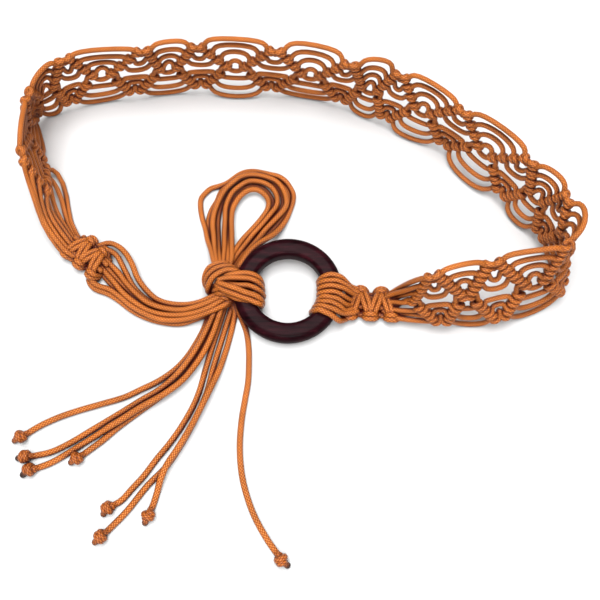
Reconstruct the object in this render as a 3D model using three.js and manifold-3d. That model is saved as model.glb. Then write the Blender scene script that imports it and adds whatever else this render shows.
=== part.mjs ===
// Knotted cord belt with a wooden ring, tied in a half bow, lying on a flat surface.
// Millimetres, +Z up. The belt lies in a closed loop; the origin is on the surface below
// the middle of the loop. Eight waxed cords run through the whole belt: folded on to the
// ring, knotted into a net that stands on its edge, gathered again, tied round the ring
// and left as eight tails, each with a small knot.
import * as THREE from 'three';
import { mergeVertices } from 'three/addons/utils/BufferGeometryUtils.js';
import Module from 'manifold-3d';

const wasm = await Module();
wasm.setup();

// Driving dimensions
const CORD = 3.1;                 // diameter of one cord
const LOOP_LENGTH = 310;          // loop, left to right, along the middle of the band
const LOOP_DEPTH = 150;           // loop, front to back
const BAND_WIDTH = 39.5;          // net, from the knots of one edge to those of the other
const SCALLOP_DROP = 5.8;         // how far the lower edge loops hang below their knots
const KNOT_BAR = 7.4;             // thickness of a row of knots
const RING_OUTER = 58.8;          // ring, outer diameter
const RING_WALL = 10.4;           // ring, radial width of the wood
const RING_THICK = 10.2;          // ring, thickness along its axis
const RING_TILT = 7;              // degrees, far edge of the ring lifted
const NECK_WIDTH = 16;            // square knots where the net starts and ends
const NECK_HEIGHT = 8;
const END_KNOT = 6.6;             // diameter of the knot on a tail's end
const GAP = 0.3;                  // clearance between touching pieces
const SEAM = 0.4;                 // gap between neighbouring motifs of the net

const R = CORD / 2;
const HALF = BAND_WIDTH / 2;
const CORD_COLOUR = 0xb5662a;
const WOOD_COLOUR = 0x2a1214;
const KNOT_COLOUR = 0x854721;     // the cord's brown, darkened where the tip is singed

// Places in plan are shares of half the loop's length and depth, from the origin
const place = (x, y, z = 0) => new THREE.Vector3(x * LOOP_LENGTH / 2, y * LOOP_DEPTH / 2, z);
const RISE = 0.975;               // share of the band's width that it stands up
const ROW_START = 0.04;           // where the edge loop leaves its row, share from edge to middle
const LEAN_ROOM = 0.4;            // the leaning strands' lower corners clear the surface
const FOOT_Z = (SCALLOP_DROP + R - HALF * ROW_START) * RISE + LEAN_ROOM;
const HEAD_Z = FOOT_Z + BAND_WIDTH * RISE;
const RING_CENTRE = place(-0.013, -0.768, RING_THICK / 2 + CORD + GAP);

// The net's knots on its lower edge (foot) and upper edge (head), left neck to right neck,
// clockwise seen from above. rise is the head's height as a share of HEAD_Z.
const POSTS = [
  { foot: [-0.762, -0.305], head: [-0.812, -0.425], lift: 0.62, rise: 0.15 },
  { foot: [-0.942, 0.333], head: [-0.939, 0.093], lift: 1, rise: 0.91 },
  { foot: [-1.008, 0.790], head: [-0.954, 0.613], lift: 1, rise: 0.95 },
  { foot: [-0.875, 0.940], head: [-0.835, 0.940], lift: 1, rise: 1 },
  { foot: [-0.634, 1.043], head: [-0.552, 1.020], lift: 1, rise: 1 },
  { foot: [-0.368, 1.108], head: [-0.352, 1.060], lift: 1, rise: 1 },
  { foot: [-0.087, 1.081], head: [-0.061, 1.020], lift: 1, rise: 1 },
  { foot: [0.186, 0.964], head: [0.210, 0.887], lift: 1, rise: 1 },
  { foot: [0.363, 0.777], head: [0.397, 0.780], lift: 1, rise: 1 },
  { foot: [0.581, 0.523], head: [0.610, 0.447], lift: 1, rise: 1 },
  { foot: [0.774, 0.067], head: [0.816, 0.020], lift: 1, rise: 1 },
  { foot: [0.895, -0.303], head: [0.926, -0.287], lift: 1, rise: 1 },
  { foot: [0.948, -0.751], head: [0.895, -0.667], lift: 1, rise: 0.99 },
  { foot: [0.720, -0.971], head: [0.655, -0.780], lift: 1, rise: 0.96 },
  { foot: [0.520, -0.991], head: [0.455, -0.877], lift: 1, rise: 0.96 },
  { foot: [0.352, -0.967], head: [0.352, -0.755], lift: 0.62, rise: 0.16 },
];
// Height of each motif's upper edge loop above its knots, as a share of the cord
const SCALLOPS = [1.2, 1.6, 2.1, 1.9, 2.6, 2.3, 2.0, 2.0, 2.2, 1.9, 1.9, 2.0, 1.7];

const feet = new THREE.CatmullRomCurve3(
  POSTS.map((p) => place(...p.foot, FOOT_Z * p.lift)), false, 'catmullrom', 0.5);
const heads = new THREE.CatmullRomCurve3(
  POSTS.map((p) => place(...p.head, HEAD_Z * p.rise)), false, 'catmullrom', 0.5);

// A point of the band: post number, height from the middle line, distance outwards
function bandPoint(post, across, out) {
  const t = THREE.MathUtils.clamp(post / (POSTS.length - 1), 0, 1);
  const foot = feet.getPoint(t);
  const head = heads.getPoint(t);
  const along = feet.getTangent(t).add(heads.getTangent(t));
  const up = head.clone().sub(foot);
  const normal = up.clone().cross(along).normalize();
  const middle = foot.add(head).multiplyScalar(0.5);
  return middle.addScaledVector(up, across / BAND_WIDTH).addScaledVector(normal, out);
}

function motifLength(post) {
  const a = bandPoint(post, 0, 0);
  const b = bandPoint(post + 0.5, 0, 0);
  return a.distanceTo(b) + b.distanceTo(bandPoint(post + 1, 0, 0));
}

// Solids: a closed mesh in, a manifold out, and back again
function toSolid(geometry) {
  const bare = geometry.clone();
  bare.deleteAttribute('normal');
  bare.deleteAttribute('uv');
  const merged = mergeVertices(bare, 1e-4);
  const vertProperties = new Float32Array(merged.attributes.position.array);
  const triVerts = new Uint32Array(merged.index.array);
  return new wasm.Manifold(new wasm.Mesh({ numProp: 3, vertProperties, triVerts }));
}

function toGeometry(solid) {
  const { vertProperties, triVerts } = solid.getMesh();
  const geometry = new THREE.BufferGeometry();
  geometry.setAttribute('position', new THREE.BufferAttribute(vertProperties, 3));
  geometry.setIndex(new THREE.BufferAttribute(triVerts, 1));
  geometry.computeVertexNormals();
  return geometry;
}

const fuse = (geometries) => geometries.map(toSolid).reduce((all, next) => all.add(next));
const cut = (solid, geometries) => (
  geometries.map(toSolid).reduce((all, tool) => all.subtract(tool), solid));

// A closed body through oval sections; each has a centre, a half width across the
// course in plan, and a half height
function loft(sections, sides) {
  const positions = [];
  const indices = [];
  sections.forEach((section, i) => {
    const before = sections[Math.max(i - 1, 0)].at;
    const after = sections[Math.min(i + 1, sections.length - 1)].at;
    const along = after.clone().sub(before).normalize();
    const side = along.clone().cross(new THREE.Vector3(0, 0, 1)).normalize();
    const up = side.clone().cross(along);
    for (let j = 0; j < sides; j += 1) {
      const angle = (j + 0.5) / sides * 2 * Math.PI;
      const point = section.at.clone()
        .addScaledVector(side, Math.cos(angle) * section.wide)
        .addScaledVector(up, Math.sin(angle) * section.high);
      positions.push(point.x, point.y, point.z);
    }
  });
  for (let i = 0; i < sections.length - 1; i += 1) {
    for (let j = 0; j < sides; j += 1) {
      const a = i * sides + j;
      const b = i * sides + (j + 1) % sides;
      indices.push(a, a + sides, b, b, a + sides, b + sides);
    }
  }
  const last = (sections.length - 1) * sides;
  for (let j = 1; j < sides - 1; j += 1) {
    indices.push(0, j, j + 1, last, last + j + 1, last + j);
  }
  const geometry = new THREE.BufferGeometry();
  geometry.setAttribute('position', new THREE.Float32BufferAttribute(positions, 3));
  geometry.setIndex(indices);
  return geometry;
}

// A straight bar of knots between two points, six sided
function bar(from, to, thick) {
  const length = from.distanceTo(to);
  const geometry = new THREE.CylinderGeometry(thick / 2, thick / 2, length, 6);
  const turn = new THREE.Quaternion().setFromUnitVectors(
    new THREE.Vector3(0, 1, 0), to.clone().sub(from).normalize());
  geometry.applyQuaternion(turn);
  const middle = from.clone().add(to).multiplyScalar(0.5);
  geometry.translate(middle.x, middle.y, middle.z);
  return geometry;
}

function ball(centre, radii, around, down) {
  const geometry = new THREE.SphereGeometry(1, around, down);
  geometry.rotateX(Math.PI / 2);
  geometry.scale(radii[0], radii[1], radii[2]);
  geometry.translate(centre.x, centre.y, centre.z);
  return geometry;
}

// The net, drawn flat: u along the belt, v across it
const SETBACK = 3.3;              // first knot of a row from the seam
const APEX = 3.0;                 // knot rows' meeting point from the motif's middle
const STRAND_ROWS = [ROW_START, 0.36, 0.68];   // where floats leave a row, from edge to middle
const STRAND_RISE = [1, 0.72, 0.3];        // rise of each float, as a share of the edge loop
const SEAM_STRANDS = [1, 0.47, 0.13];      // strands at the seam, as shares of HALF
const EDGE_STEPS = 4;
const GAP_STEPS = 3;

const rowU = (share, reach) => SETBACK + share * reach;
const floatV = (k, x, rise) => (
  HALF * (1 - STRAND_ROWS[k]) + rise * STRAND_RISE[k] * Math.sin(Math.PI * x));

function floatEdge(k, side, length, rise, inset, steps) {
  const reach = length / 2 - APEX - SETBACK;
  const start = rowU(STRAND_ROWS[k], reach);
  const points = [];
  for (let i = 0; i <= steps; i += 1) {
    const x = inset + (1 - 2 * inset) * i / steps;
    points.push(new THREE.Vector2(start + x * (length - 2 * start), floatV(k, x, rise) + side * R));
  }
  return points;
}

// Gaps between the strands at a motif's seam, seen from the seam at u = 0
function seamGaps(length) {
  const reach = length / 2 - APEX - SETBACK;
  const gaps = [];
  for (let k = 0; k < SEAM_STRANDS.length - 1; k += 1) {
    const inner = rowU((STRAND_ROWS[k] + STRAND_ROWS[k + 1]) / 2, reach);
    gaps.push([
      new THREE.Vector2(0, HALF * SEAM_STRANDS[k] - R),
      new THREE.Vector2(inner, HALF * (1 - STRAND_ROWS[k]) - R),
      new THREE.Vector2(inner, HALF * (1 - STRAND_ROWS[k + 1]) + R),
      new THREE.Vector2(0, HALF * SEAM_STRANDS[k + 1] + R),
    ]);
  }
  return gaps;
}

function seamSide(length) {
  const reach = length / 2 - APEX - SETBACK;
  const upper = seamGaps(length).flat();
  const innerV = HALF * SEAM_STRANDS[2] - R;
  const middle = [
    new THREE.Vector2(0, innerV),
    new THREE.Vector2(rowU(0.7, reach), HALF * 0.3 - R),
    new THREE.Vector2(rowU(0.95, reach), 0),
    new THREE.Vector2(rowU(0.7, reach), -(HALF * 0.3 - R)),
    new THREE.Vector2(0, -innerV),
  ];
  const lower = upper.map((p) => new THREE.Vector2(p.x, -p.y)).reverse();
  return [...upper, ...middle, ...lower];
}

function motifShape(length, upRise) {
  const left = seamSide(length).map((p) => new THREE.Vector2(p.x + SEAM / 2, p.y));
  const right = seamSide(length)
    .map((p) => new THREE.Vector2(length - SEAM / 2 - p.x, p.y)).reverse();
  const top = floatEdge(0, 1, length, upRise, 0, EDGE_STEPS);
  const bottom = floatEdge(0, 1, length, SCALLOP_DROP, 0, EDGE_STEPS)
    .map((p) => new THREE.Vector2(p.x, -p.y));
  const corner = (u, side) => new THREE.Vector2(u, side * (HALF + R * 0.6));
  const outline = [
    corner(SEAM / 2, -1), ...bottom, corner(length - SEAM / 2, -1),
    ...right, corner(length - SEAM / 2, 1), ...top.reverse(), corner(SEAM / 2, 1), ...left,
  ];
  const shape = new THREE.Shape(outline);
  const rises = [upRise, SCALLOP_DROP];
  rises.forEach((rise, i) => {
    const flip = i === 0 ? 1 : -1;
    for (let k = 0; k < 2; k += 1) {
      const over = floatEdge(k, -1, length, rise, 0.14, GAP_STEPS);
      const under = floatEdge(k + 1, 1, length, rise, 0.1, GAP_STEPS);
      const hole = [...over, ...under.reverse()].map((p) => new THREE.Vector2(p.x, flip * p.y));
      shape.holes.push(new THREE.Path(hole));
    }
  });
  return shape;
}

// Bends a flat solid on to the band; its own +z side faces into the loop
function bend(solid, post, length) {
  const geometry = toGeometry(solid);
  const position = geometry.attributes.position;
  for (let i = 0; i < position.count; i += 1) {
    const point = bandPoint(post + position.getX(i) / length, position.getY(i), -position.getZ(i));
    position.setXYZ(i, point.x, point.y, point.z);
  }
  geometry.computeVertexNormals();
  return geometry;
}

function plate(shape) {
  const geometry = new THREE.ExtrudeGeometry(shape, { depth: CORD, bevelEnabled: false });
  return geometry.translate(0, 0, -R);
}

// Rows of knots from a motif's four corners to its middle
function motifGeometry(post, upRise) {
  const length = motifLength(post);
  const bars = [];
  for (const side of [-1, 1]) {
    const corner = new THREE.Vector3(SETBACK, side * HALF, 0);
    const apex = new THREE.Vector3(length / 2 - APEX * 0.3, 0, 0);
    bars.push(bar(corner, apex, KNOT_BAR));
    const mirrored = (p) => new THREE.Vector3(length - p.x, p.y, p.z);
    bars.push(bar(mirrored(corner), mirrored(apex), KNOT_BAR));
  }
  return bend(fuse([plate(motifShape(length, upRise)), ...bars]), post, length);
}

// Where the net is gathered to a neck at u = 0: strands converge from one pair of rows
// At the neck, at the upper and at the lower end, as shares of HALF
const GATHER_GAPS = [[0.84, 0.9, 0.74], [0.5, 0.58, 0.42]];

function gatherShape(length, apexU, orient) {
  const rowAt = (share) => apexU + (length - SETBACK - apexU) * share;
  const seam = length - SEAM / 2;
  const half = [[GAP / 2, HALF], [apexU, HALF + R], [seam, HALF + R * 0.6]];
  seamGaps((length - apexU) * 2).flat().forEach((p) => half.push([seam - p.x, p.y]));
  half.push([seam, HALF * SEAM_STRANDS[2] - R]);
  const mirrored = half.slice().reverse().map(([u, v]) => [u, -v]);
  const outline = [...half, [rowAt(0.3), 0], ...mirrored].map(orient);
  if (THREE.ShapeUtils.isClockWise(outline)) outline.reverse();
  const shape = new THREE.Shape(outline);
  const behind = KNOT_BAR * 0.45;
  for (const [near, upper, lower] of GATHER_GAPS) {
    const gap = [
      [apexU * 0.5, HALF * near],
      [rowAt(upper) - behind, HALF * upper],
      [rowAt(lower) - behind, HALF * lower],
    ];
    shape.holes.push(new THREE.Path(gap.map(orient)));
    shape.holes.push(new THREE.Path(gap.map(([u, v]) => [u, -v]).map(orient)));
  }
  return shape;
}

function gatherGeometry(post, seamAtEnd, apexShare) {
  const length = motifLength(post);
  const apexU = length * apexShare;
  const orient = ([u, v]) => new THREE.Vector2(seamAtEnd ? u : length - u, v);
  const bars = [-1, 1].map((side) => {
    const corner = orient([length - SETBACK, side * HALF]);
    const apex = orient([apexU, 0]);
    const ends = [corner, apex].map((p) => new THREE.Vector3(p.x, p.y, 0));
    return bar(...ends, KNOT_BAR);
  });
  return bend(fuse([plate(gatherShape(length, apexU, orient)), ...bars]), post, length);
}

// Ring: rounded outside, with a bevelled inner edge
function ringGeometry(grow = 0) {
  const inner = RING_OUTER / 2 - RING_WALL - grow;
  const outer = RING_OUTER / 2 + grow;
  const half = RING_THICK / 2 + grow;
  const wall = outer - inner;
  const profile = [
    [0, -0.45], [0.14, -0.85], [0.45, -1], [0.78, -0.8], [0.97, -0.32],
    [0.97, 0.32], [0.78, 0.8], [0.45, 1], [0.14, 0.85], [0, 0.45], [0, -0.45],
  ].map(([across, up]) => new THREE.Vector2(inner + across * wall, up * half));
  const geometry = new THREE.LatheGeometry(profile, 28);
  geometry.rotateX(Math.PI / 2);
  return geometry;
}

function ontoRing(geometry) {
  geometry.rotateX(THREE.MathUtils.degToRad(RING_TILT));
  return geometry.translate(RING_CENTRE.x, RING_CENTRE.y, RING_CENTRE.z);
}

// Everything below the surface that the belt lies on
function belowFloor() {
  const depth = 20;
  return new THREE.BoxGeometry(LOOP_LENGTH, LOOP_LENGTH, depth).translate(0, 0, -depth / 2);
}

// A layer of cord round part of the ring, between two angles in the ring's plane
function ringSleeve(fromDegrees, toDegrees, grow = 0) {
  const middle = RING_OUTER / 2 - RING_WALL / 2;
  const sections = [];
  const steps = 5;
  for (let i = 0; i <= steps; i += 1) {
    const angle = THREE.MathUtils.degToRad(fromDegrees + (toDegrees - fromDegrees) * i / steps);
    const at = new THREE.Vector3(Math.cos(angle) * middle, Math.sin(angle) * middle, 0);
    const room = GAP + CORD + grow;
    sections.push({ at, wide: RING_WALL / 2 + room, high: RING_THICK / 2 + room - 0.1 });
  }
  return ontoRing(loft(sections, 8));
}

// A neck of square knots from one point to another
function neckGeometry(from, to, knots) {
  const along = to.clone().sub(from);
  const side = new THREE.Vector3(-along.y, along.x, 0).normalize();
  const at = (share) => from.clone().addScaledVector(along, share);
  const sections = [];
  const bars = [];
  for (let i = 0; i < knots; i += 1) {
    const start = i / knots;
    const step = 1 / knots;
    [[0, 0.74], [0.2, 1], [0.8, 1]].forEach(([share, wide]) => sections.push({
      at: at(start + share * step),
      wide: NECK_WIDTH / 2 * wide,
      high: NECK_HEIGHT / 2 * wide * 0.94,
    }));
    for (const share of [0.3, 0.7]) {
      const lean = (share - 0.5) * step * 0.8;
      const height = new THREE.Vector3(0, 0, NECK_HEIGHT * 0.3);
      const reach = NECK_WIDTH * 0.36;
      bars.push(bar(
        at(start + share * step - lean).addScaledVector(side, -reach).add(height),
        at(start + share * step + lean).addScaledVector(side, reach).add(height), CORD * 1.1));
    }
  }
  sections.push({ at: at(1), wide: NECK_WIDTH / 2 * 0.74, high: NECK_HEIGHT / 2 * 0.7 });
  return fuse([loft(sections, 8), ...bars]);
}

const NECK_Z = NECK_HEIGHT / 2 + 0.1;
const lastPost = POSTS.length - 1;
const leftEnd = bandPoint(0, 0, 0).setZ(NECK_Z);
const rightEnd = bandPoint(lastPost, 0, 0).setZ(NECK_Z);
const NECK_LENGTH = 20.2;         // left neck
const leftNeckWay = bandPoint(0, -HALF, 0).sub(bandPoint(0, HALF, 0)).setZ(0).normalize()
  .applyAxisAngle(new THREE.Vector3(0, 0, 1), -Math.PI / 2);
const leftNeckFar = leftEnd.clone().addScaledVector(leftNeckWay, NECK_LENGTH);
const rightNeckNear = RING_CENTRE.clone()
  .add(new THREE.Vector3(RING_OUTER / 2 + 4.2, -5.6, 0)).setZ(NECK_Z);
const rightNeckWay = rightEnd.clone().sub(rightNeckNear).normalize();

function towards(from, to, distance) {
  return from.clone().addScaledVector(to.clone().sub(from).normalize(), distance);
}

function rightNeck() {
  const from = towards(rightNeckNear, rightEnd, GAP);
  return neckGeometry(from, towards(rightEnd, rightNeckNear, GAP * 2.5), 2);
}

function leftNeck() {
  return neckGeometry(towards(leftEnd, leftNeckFar, GAP * 2), leftNeckFar, 2);
}

// The space of a neck between two points, with its clearance at both ends
function neckBox(from, to) {
  const middle = from.clone().lerp(to, 0.5);
  const way = to.clone().sub(from);
  const box = new THREE.BoxGeometry(way.length() + GAP * 2, NECK_WIDTH * 1.6, NECK_HEIGHT * 4);
  box.rotateZ(Math.atan2(way.y, way.x));
  return box.translate(middle.x, middle.y, middle.z);
}

// The eight cords folded round the ring's right side and drawn together to the neck. Half the
// sheet's width and half its height where it leaves the ring and half way to the neck.
const SHEET_AT_RING = { wide: 11, high: 7.6 };
const SHEET_HALF_WAY = { wide: 10.4, high: 6.4 };

function larksHeads() {
  const start = RING_CENTRE.clone().add(new THREE.Vector3(RING_OUTER / 2 - RING_WALL * 0.6, -3, 0));
  const end = rightNeckNear.clone().addScaledVector(rightNeckWay, -GAP);
  const halfWay = start.clone().lerp(end, 0.5).setZ(RING_CENTRE.z - 1.2);
  const beforeNeck = end.clone().addScaledVector(rightNeckWay, -CORD * 0.7);
  const sections = [
    { at: start, ...SHEET_AT_RING },
    { at: halfWay, ...SHEET_HALF_WAY },
    { at: beforeNeck, wide: NECK_WIDTH * 0.48, high: NECK_HEIGHT / 2 },
    { at: end, wide: NECK_WIDTH * 0.4, high: NECK_HEIGHT * 0.4 },
  ];
  const body = fuse([ringSleeve(-38, 27), loft(sections, 8)]);
  return cut(body, [ontoRing(ringGeometry(GAP)), neckBox(rightNeckNear, rightEnd), belowFloor()]);
}

// The tie: a lump beside the ring's left, and strands over the ring into its hole
const TIE_RADII = [10.6, 10, 9.1];
const TIE_BESIDE_RING = 7.2;      // the lump's centre, left of the ring's outer edge
const TIE_BEHIND = 6;             // and further back than the ring's centre
const TIE_CENTRE = RING_CENTRE.clone()
  .add(new THREE.Vector3(-RING_OUTER / 2 - TIE_BESIDE_RING, TIE_BEHIND, 0))
  .setZ(TIE_RADII[2] + 0.15);
const tieLump = (grow = 0) => ball(TIE_CENTRE, TIE_RADII.map((r) => r + grow), 9, 6);

function tieKnot() {
  return cut(fuse([tieLump(), ringSleeve(160, 207)]), [ontoRing(ringGeometry(GAP)), belowFloor()]);
}

// Courses of several cords side by side, chosen by eye. Columns: x and y as shares of half
// the loop; height, half width and half height in cord diameters
const course = (rows) => rows.map(([x, y, height, wide, high]) => (
  { at: place(x, y, height * CORD), wide: wide * CORD, high: high * CORD }));

const BUNDLE_UPPER = [
  [-0.665, -0.407, 1.45, 1.03, 0.71], [-0.632, -0.387, 1.29, 1.03, 0.71],
  [-0.594, -0.467, 1.16, 1.03, 0.71], [-0.565, -0.6, 1.16, 1.03, 0.77],
  [-0.519, -0.747, 1.23, 1.1, 0.97], [-0.458, -0.853, 1.48, 1.29, 1.16],
  [-0.387, -0.915, 1.81, 1.48, 1.35], [-0.323, -0.887, 2.84, 1.55, 1.35],
  [-0.271, -0.813, 3.61, 1.61, 1.35],
];
const BUNDLE_MIDDLE = [
  [-0.671, -0.533, 1.35, 1.61, 0.97], [-0.626, -0.633, 1.23, 1.48, 0.97],
  [-0.568, -0.767, 1.23, 1.35, 1.1], [-0.51, -0.873, 1.35, 1.35, 1.23],
  [-0.452, -0.928, 1.42, 1.42, 1.35], [-0.387, -0.947, 1.55, 1.42, 1.42],
];
const BUNDLE_LOWER = [
  [-0.713, -0.64, 1.1, 1.03, 0.71], [-0.694, -0.707, 0.84, 1.03, 0.71],
  [-0.639, -0.755, 0.84, 1.03, 0.71], [-0.587, -0.808, 0.97, 1.03, 0.77],
  [-0.529, -0.907, 1.1, 1.1, 0.97], [-0.458, -0.963, 1.23, 1.16, 1.1],
  [-0.387, -0.975, 1.6, 1, 0.9], [-0.313, -0.944, 1.85, 0.9, 0.73],
  [-0.258, -0.915, 1.88, 0.85, 0.73], [-0.213, -0.92, 1.88, 0.8, 0.7],
];

function strandBundle() {
  const strands = [BUNDLE_UPPER, BUNDLE_MIDDLE, BUNDLE_LOWER]
    .map((points) => loft(course(points), 8));
  const neighbours = [tieLump(GAP), ontoRing(ringGeometry(GAP)), ringSleeve(158, 209, GAP)];
  return cut(fuse(strands), [...neighbours, neckBox(leftEnd, leftNeckFar)]);
}

const BOW_LEFT = [
  [-0.245, -0.587, 3.06, 1.94, 1.42], [-0.255, -0.427, 2.39, 2.19, 1.23],
  [-0.271, -0.267, 1.94, 2.58, 1.1], [-0.274, -0.093, 1.48, 2.58, 1.1],
  [-0.245, 0.053, 1.42, 2.26, 1.16], [-0.19, 0.147, 1.42, 1.94, 1.23],
  [-0.129, 0.173, 1.42, 1.81, 1.23], [-0.077, 0.107, 1.35, 1.81, 1.23],
];
const BOW_RIGHT = [
  [-0.129, 0.173, 1.39, 1.68, 1.16], [-0.074, 0.107, 1.29, 1.87, 1.16],
  [-0.052, -0.027, 1.23, 1.94, 1.1], [-0.065, -0.173, 1.03, 1.94, 0.94],
  [-0.103, -0.32, 0.81, 1.74, 0.74], [-0.148, -0.44, 0.77, 1.55, 0.71],
  [-0.194, -0.56, 1.16, 1.55, 0.84],
];

function bowLoop() {
  const legs = [BOW_LEFT, BOW_RIGHT].map((points) => loft(course(points), 8));
  return cut(fuse(legs), [tieLump(GAP), ontoRing(ringGeometry(GAP)), ringSleeve(158, 209, GAP)]);
}

// Free tails: routes from under the tie to the end knots, chosen by eye
const TAIL_ROUTES = [
  [[-27.6, -71, 1.65], [-26.2, -74.2, 1.65], [-24.6, -78.6, 1.65], [-23.1, -87.2, 1.65],
    [-22.6, -98.5, 1.65], [-22.8, -107.9, 1.65], [-24.1, -117.1, 1.65], [-25.5, -127.8, 1.65],
    [-26, -142.3, 1.65], [-24.1, -157.8, 1.65], [-18.6, -174.1, 1.65], [-11.2, -186.9, 1.65],
    [-6.5, -193.2, 1.65]],
  [[-31.4, -71.4, 1.65], [-32.5, -78, 1.65], [-35, -89.5, 1.65], [-38, -101, 3.2],
    [-42.6, -113.3, 5.1], [-46.5, -122.4, 5.1], [-51.8, -133.9, 5.1], [-57, -143.5, 5.1],
    [-62, -152, 5.1], [-64.4, -158.4, 4.4], [-66, -164, 2], [-67.5, -170, 1.65],
    [-68.4, -172.5, 1.65]],
  [[-34, -69, 1.65], [-36.2, -78, 1.65], [-39, -89.5, 1.65], [-41.6, -100.7, 1.65],
    [-43.9, -112.3, 1.65], [-47, -121.4, 1.65], [-52, -133, 1.65], [-57, -142.8, 1.65],
    [-62.7, -151.9, 1.65], [-71.2, -161.2, 1.65], [-80.5, -173.8, 1.65], [-89, -183, 1.65]],
  [[-37.7, -69, 1.65], [-40, -78, 1.65], [-42.9, -89.5, 1.65], [-45.5, -100.7, 1.65],
    [-48, -112.3, 1.65], [-51.2, -121.4, 1.65], [-56.6, -132, 1.65], [-61.8, -140.2, 1.65],
    [-67.5, -147.8, 1.65], [-73.5, -156.6, 1.65], [-78.7, -162.7, 1.65], [-83.3, -168.3, 1.65],
    [-86.3, -170.2, 1.65]],
  [[-45.3, -69.6, 1.65], [-47.6, -77.5, 1.65], [-51.2, -85.5, 1.65], [-56, -94, 1.65],
    [-62, -101, 1.65], [-70, -107, 1.65], [-79.1, -111.8, 1.65], [-86.6, -115.6, 1.65],
    [-98.3, -119.3, 1.65], [-109.8, -122.8, 1.65], [-120.4, -126.7, 1.65], [-129.6, -131.4, 1.65],
    [-134.5, -134.8, 1.65]],
  [[-43.4, -73, 5.1], [-45.6, -79, 5.1], [-49.2, -87.4, 5.1], [-54, -96.2, 5.1],
    [-60, -104.5, 4.8], [-69, -111.6, 1.9], [-78.7, -117.7, 1.65], [-88.9, -124.6, 1.65],
    [-102.7, -133.6, 1.65], [-112.2, -139.8, 1.65], [-121.3, -144.4, 1.65], [-130, -146.4, 1.65]],
  [[-39.8, -72.6, 5.1], [-41.8, -80, 5.1], [-45.4, -89.4, 5.1], [-50.4, -98.8, 5.1],
    [-57, -107.7, 5.1], [-66.4, -115.4, 5.1], [-77.7, -122.3, 5.1], [-87.6, -129.2, 5.05],
    [-92.4, -132, 4.4], [-97, -134.6, 2.4], [-105.8, -140.3, 1.65], [-113.6, -145.6, 1.65],
    [-120.6, -149.8, 1.65], [-127, -152.4, 1.65]],
  [[-41.5, -69.6, 1.65], [-43.8, -78.5, 1.65], [-47.2, -87.6, 1.65], [-52, -96.8, 1.65],
    [-58.2, -106, 1.65], [-67, -114.4, 1.65], [-78, -123, 1.65], [-88.6, -131.6, 1.65],
    [-96.3, -138.8, 1.65], [-101.8, -143.2, 1.65], [-104.8, -145.6, 1.65]],
];
const TAIL_SIDES = 8;
const TAIL_STEPS = 9;

function tailGeometry(route) {
  const section = new THREE.Shape();
  for (let i = 0; i < TAIL_SIDES; i += 1) {
    const angle = (i + 0.5) / TAIL_SIDES * 2 * Math.PI;
    const method = i === 0 ? 'moveTo' : 'lineTo';
    section[method](Math.cos(angle) * R, Math.sin(angle) * R);
  }
  const extrudePath = new THREE.CatmullRomCurve3(route.map((p) => new THREE.Vector3(...p)));
  return new THREE.ExtrudeGeometry(section, { steps: TAIL_STEPS, extrudePath, bevelEnabled: false });
}

// The knot on a tail's end, with the burnt stub of the cord beyond it
function endKnotGeometry(route) {
  const path = new THREE.CatmullRomCurve3(route.map((p) => new THREE.Vector3(...p)));
  const direction = path.getTangent(1).setZ(0).normalize();
  const half = END_KNOT / 2;
  const centre = path.getPoint(1)
    .addScaledVector(direction, half + GAP + 0.1).setZ(half * 0.94 + 0.05);
  const stubEnd = centre.clone().addScaledVector(direction, half + CORD * 0.7);
  const stub = bar(centre.clone().setZ(R + 0.4), stubEnd.setZ(R + 0.2), CORD * 0.9);
  return fuse([ball(centre, [half, half, half * 0.94], 6, 4), stub]);
}

const material = (color, roughness) => (
  new THREE.MeshStandardMaterial({ color, roughness, metalness: 0 }));

// The whole belt's middle lies a little to the side of the loop's
const belt = new THREE.Group();
belt.position.set(4.4, -0.1, 0);
function add(name, geometry, surface) {
  const mesh = new THREE.Mesh(geometry, surface);
  mesh.name = name;
  belt.add(mesh);
}

const number = (i) => String(i).padStart(2, '0');
const cordMaterial = () => material(CORD_COLOUR, 0.62);

add('ring', ontoRing(ringGeometry()), material(WOOD_COLOUR, 0.32));
add('larks_heads', toGeometry(larksHeads()), cordMaterial());
add('right_neck', toGeometry(rightNeck()), cordMaterial());
add('net_gather_left', gatherGeometry(0, true, 0.52), cordMaterial());
for (let post = 1; post < lastPost - 1; post += 1) {
  add(`net_motif_${number(post)}`, motifGeometry(post, SCALLOPS[post - 1] * CORD), cordMaterial());
}
add('net_gather_right', gatherGeometry(lastPost - 1, false, 0.34), cordMaterial());
add('left_neck', toGeometry(leftNeck()), cordMaterial());
add('strand_bundle', toGeometry(strandBundle()), cordMaterial());
add('tie_knot', toGeometry(tieKnot()), cordMaterial());
add('bow_loop', toGeometry(bowLoop()), cordMaterial());
TAIL_ROUTES.forEach((route, i) => {
  add(`tail_${number(i + 1)}`, tailGeometry(route), cordMaterial());
  add(`end_knot_${number(i + 1)}`, toGeometry(endKnotGeometry(route)), material(KNOT_COLOUR, 0.7));
});

export default belt;
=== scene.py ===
# %% [markdown]
# A braided tassel belt, knotted from eight waxed cords and a turned wooden ring.
# It lies on a table in a closed loop: the net stands on its edge, the eight cords are
# gathered, tied round the ring in a half bow, and hang out as eight knotted tails.
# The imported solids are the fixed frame. Every cord is swept along its own centreline,
# because a knotted net is read by its single strands, and a block with a bump map isn't.

# %% The frame
import math

import bmesh
import bpy
import numpy as np
from mathutils import Matrix, Vector


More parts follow.
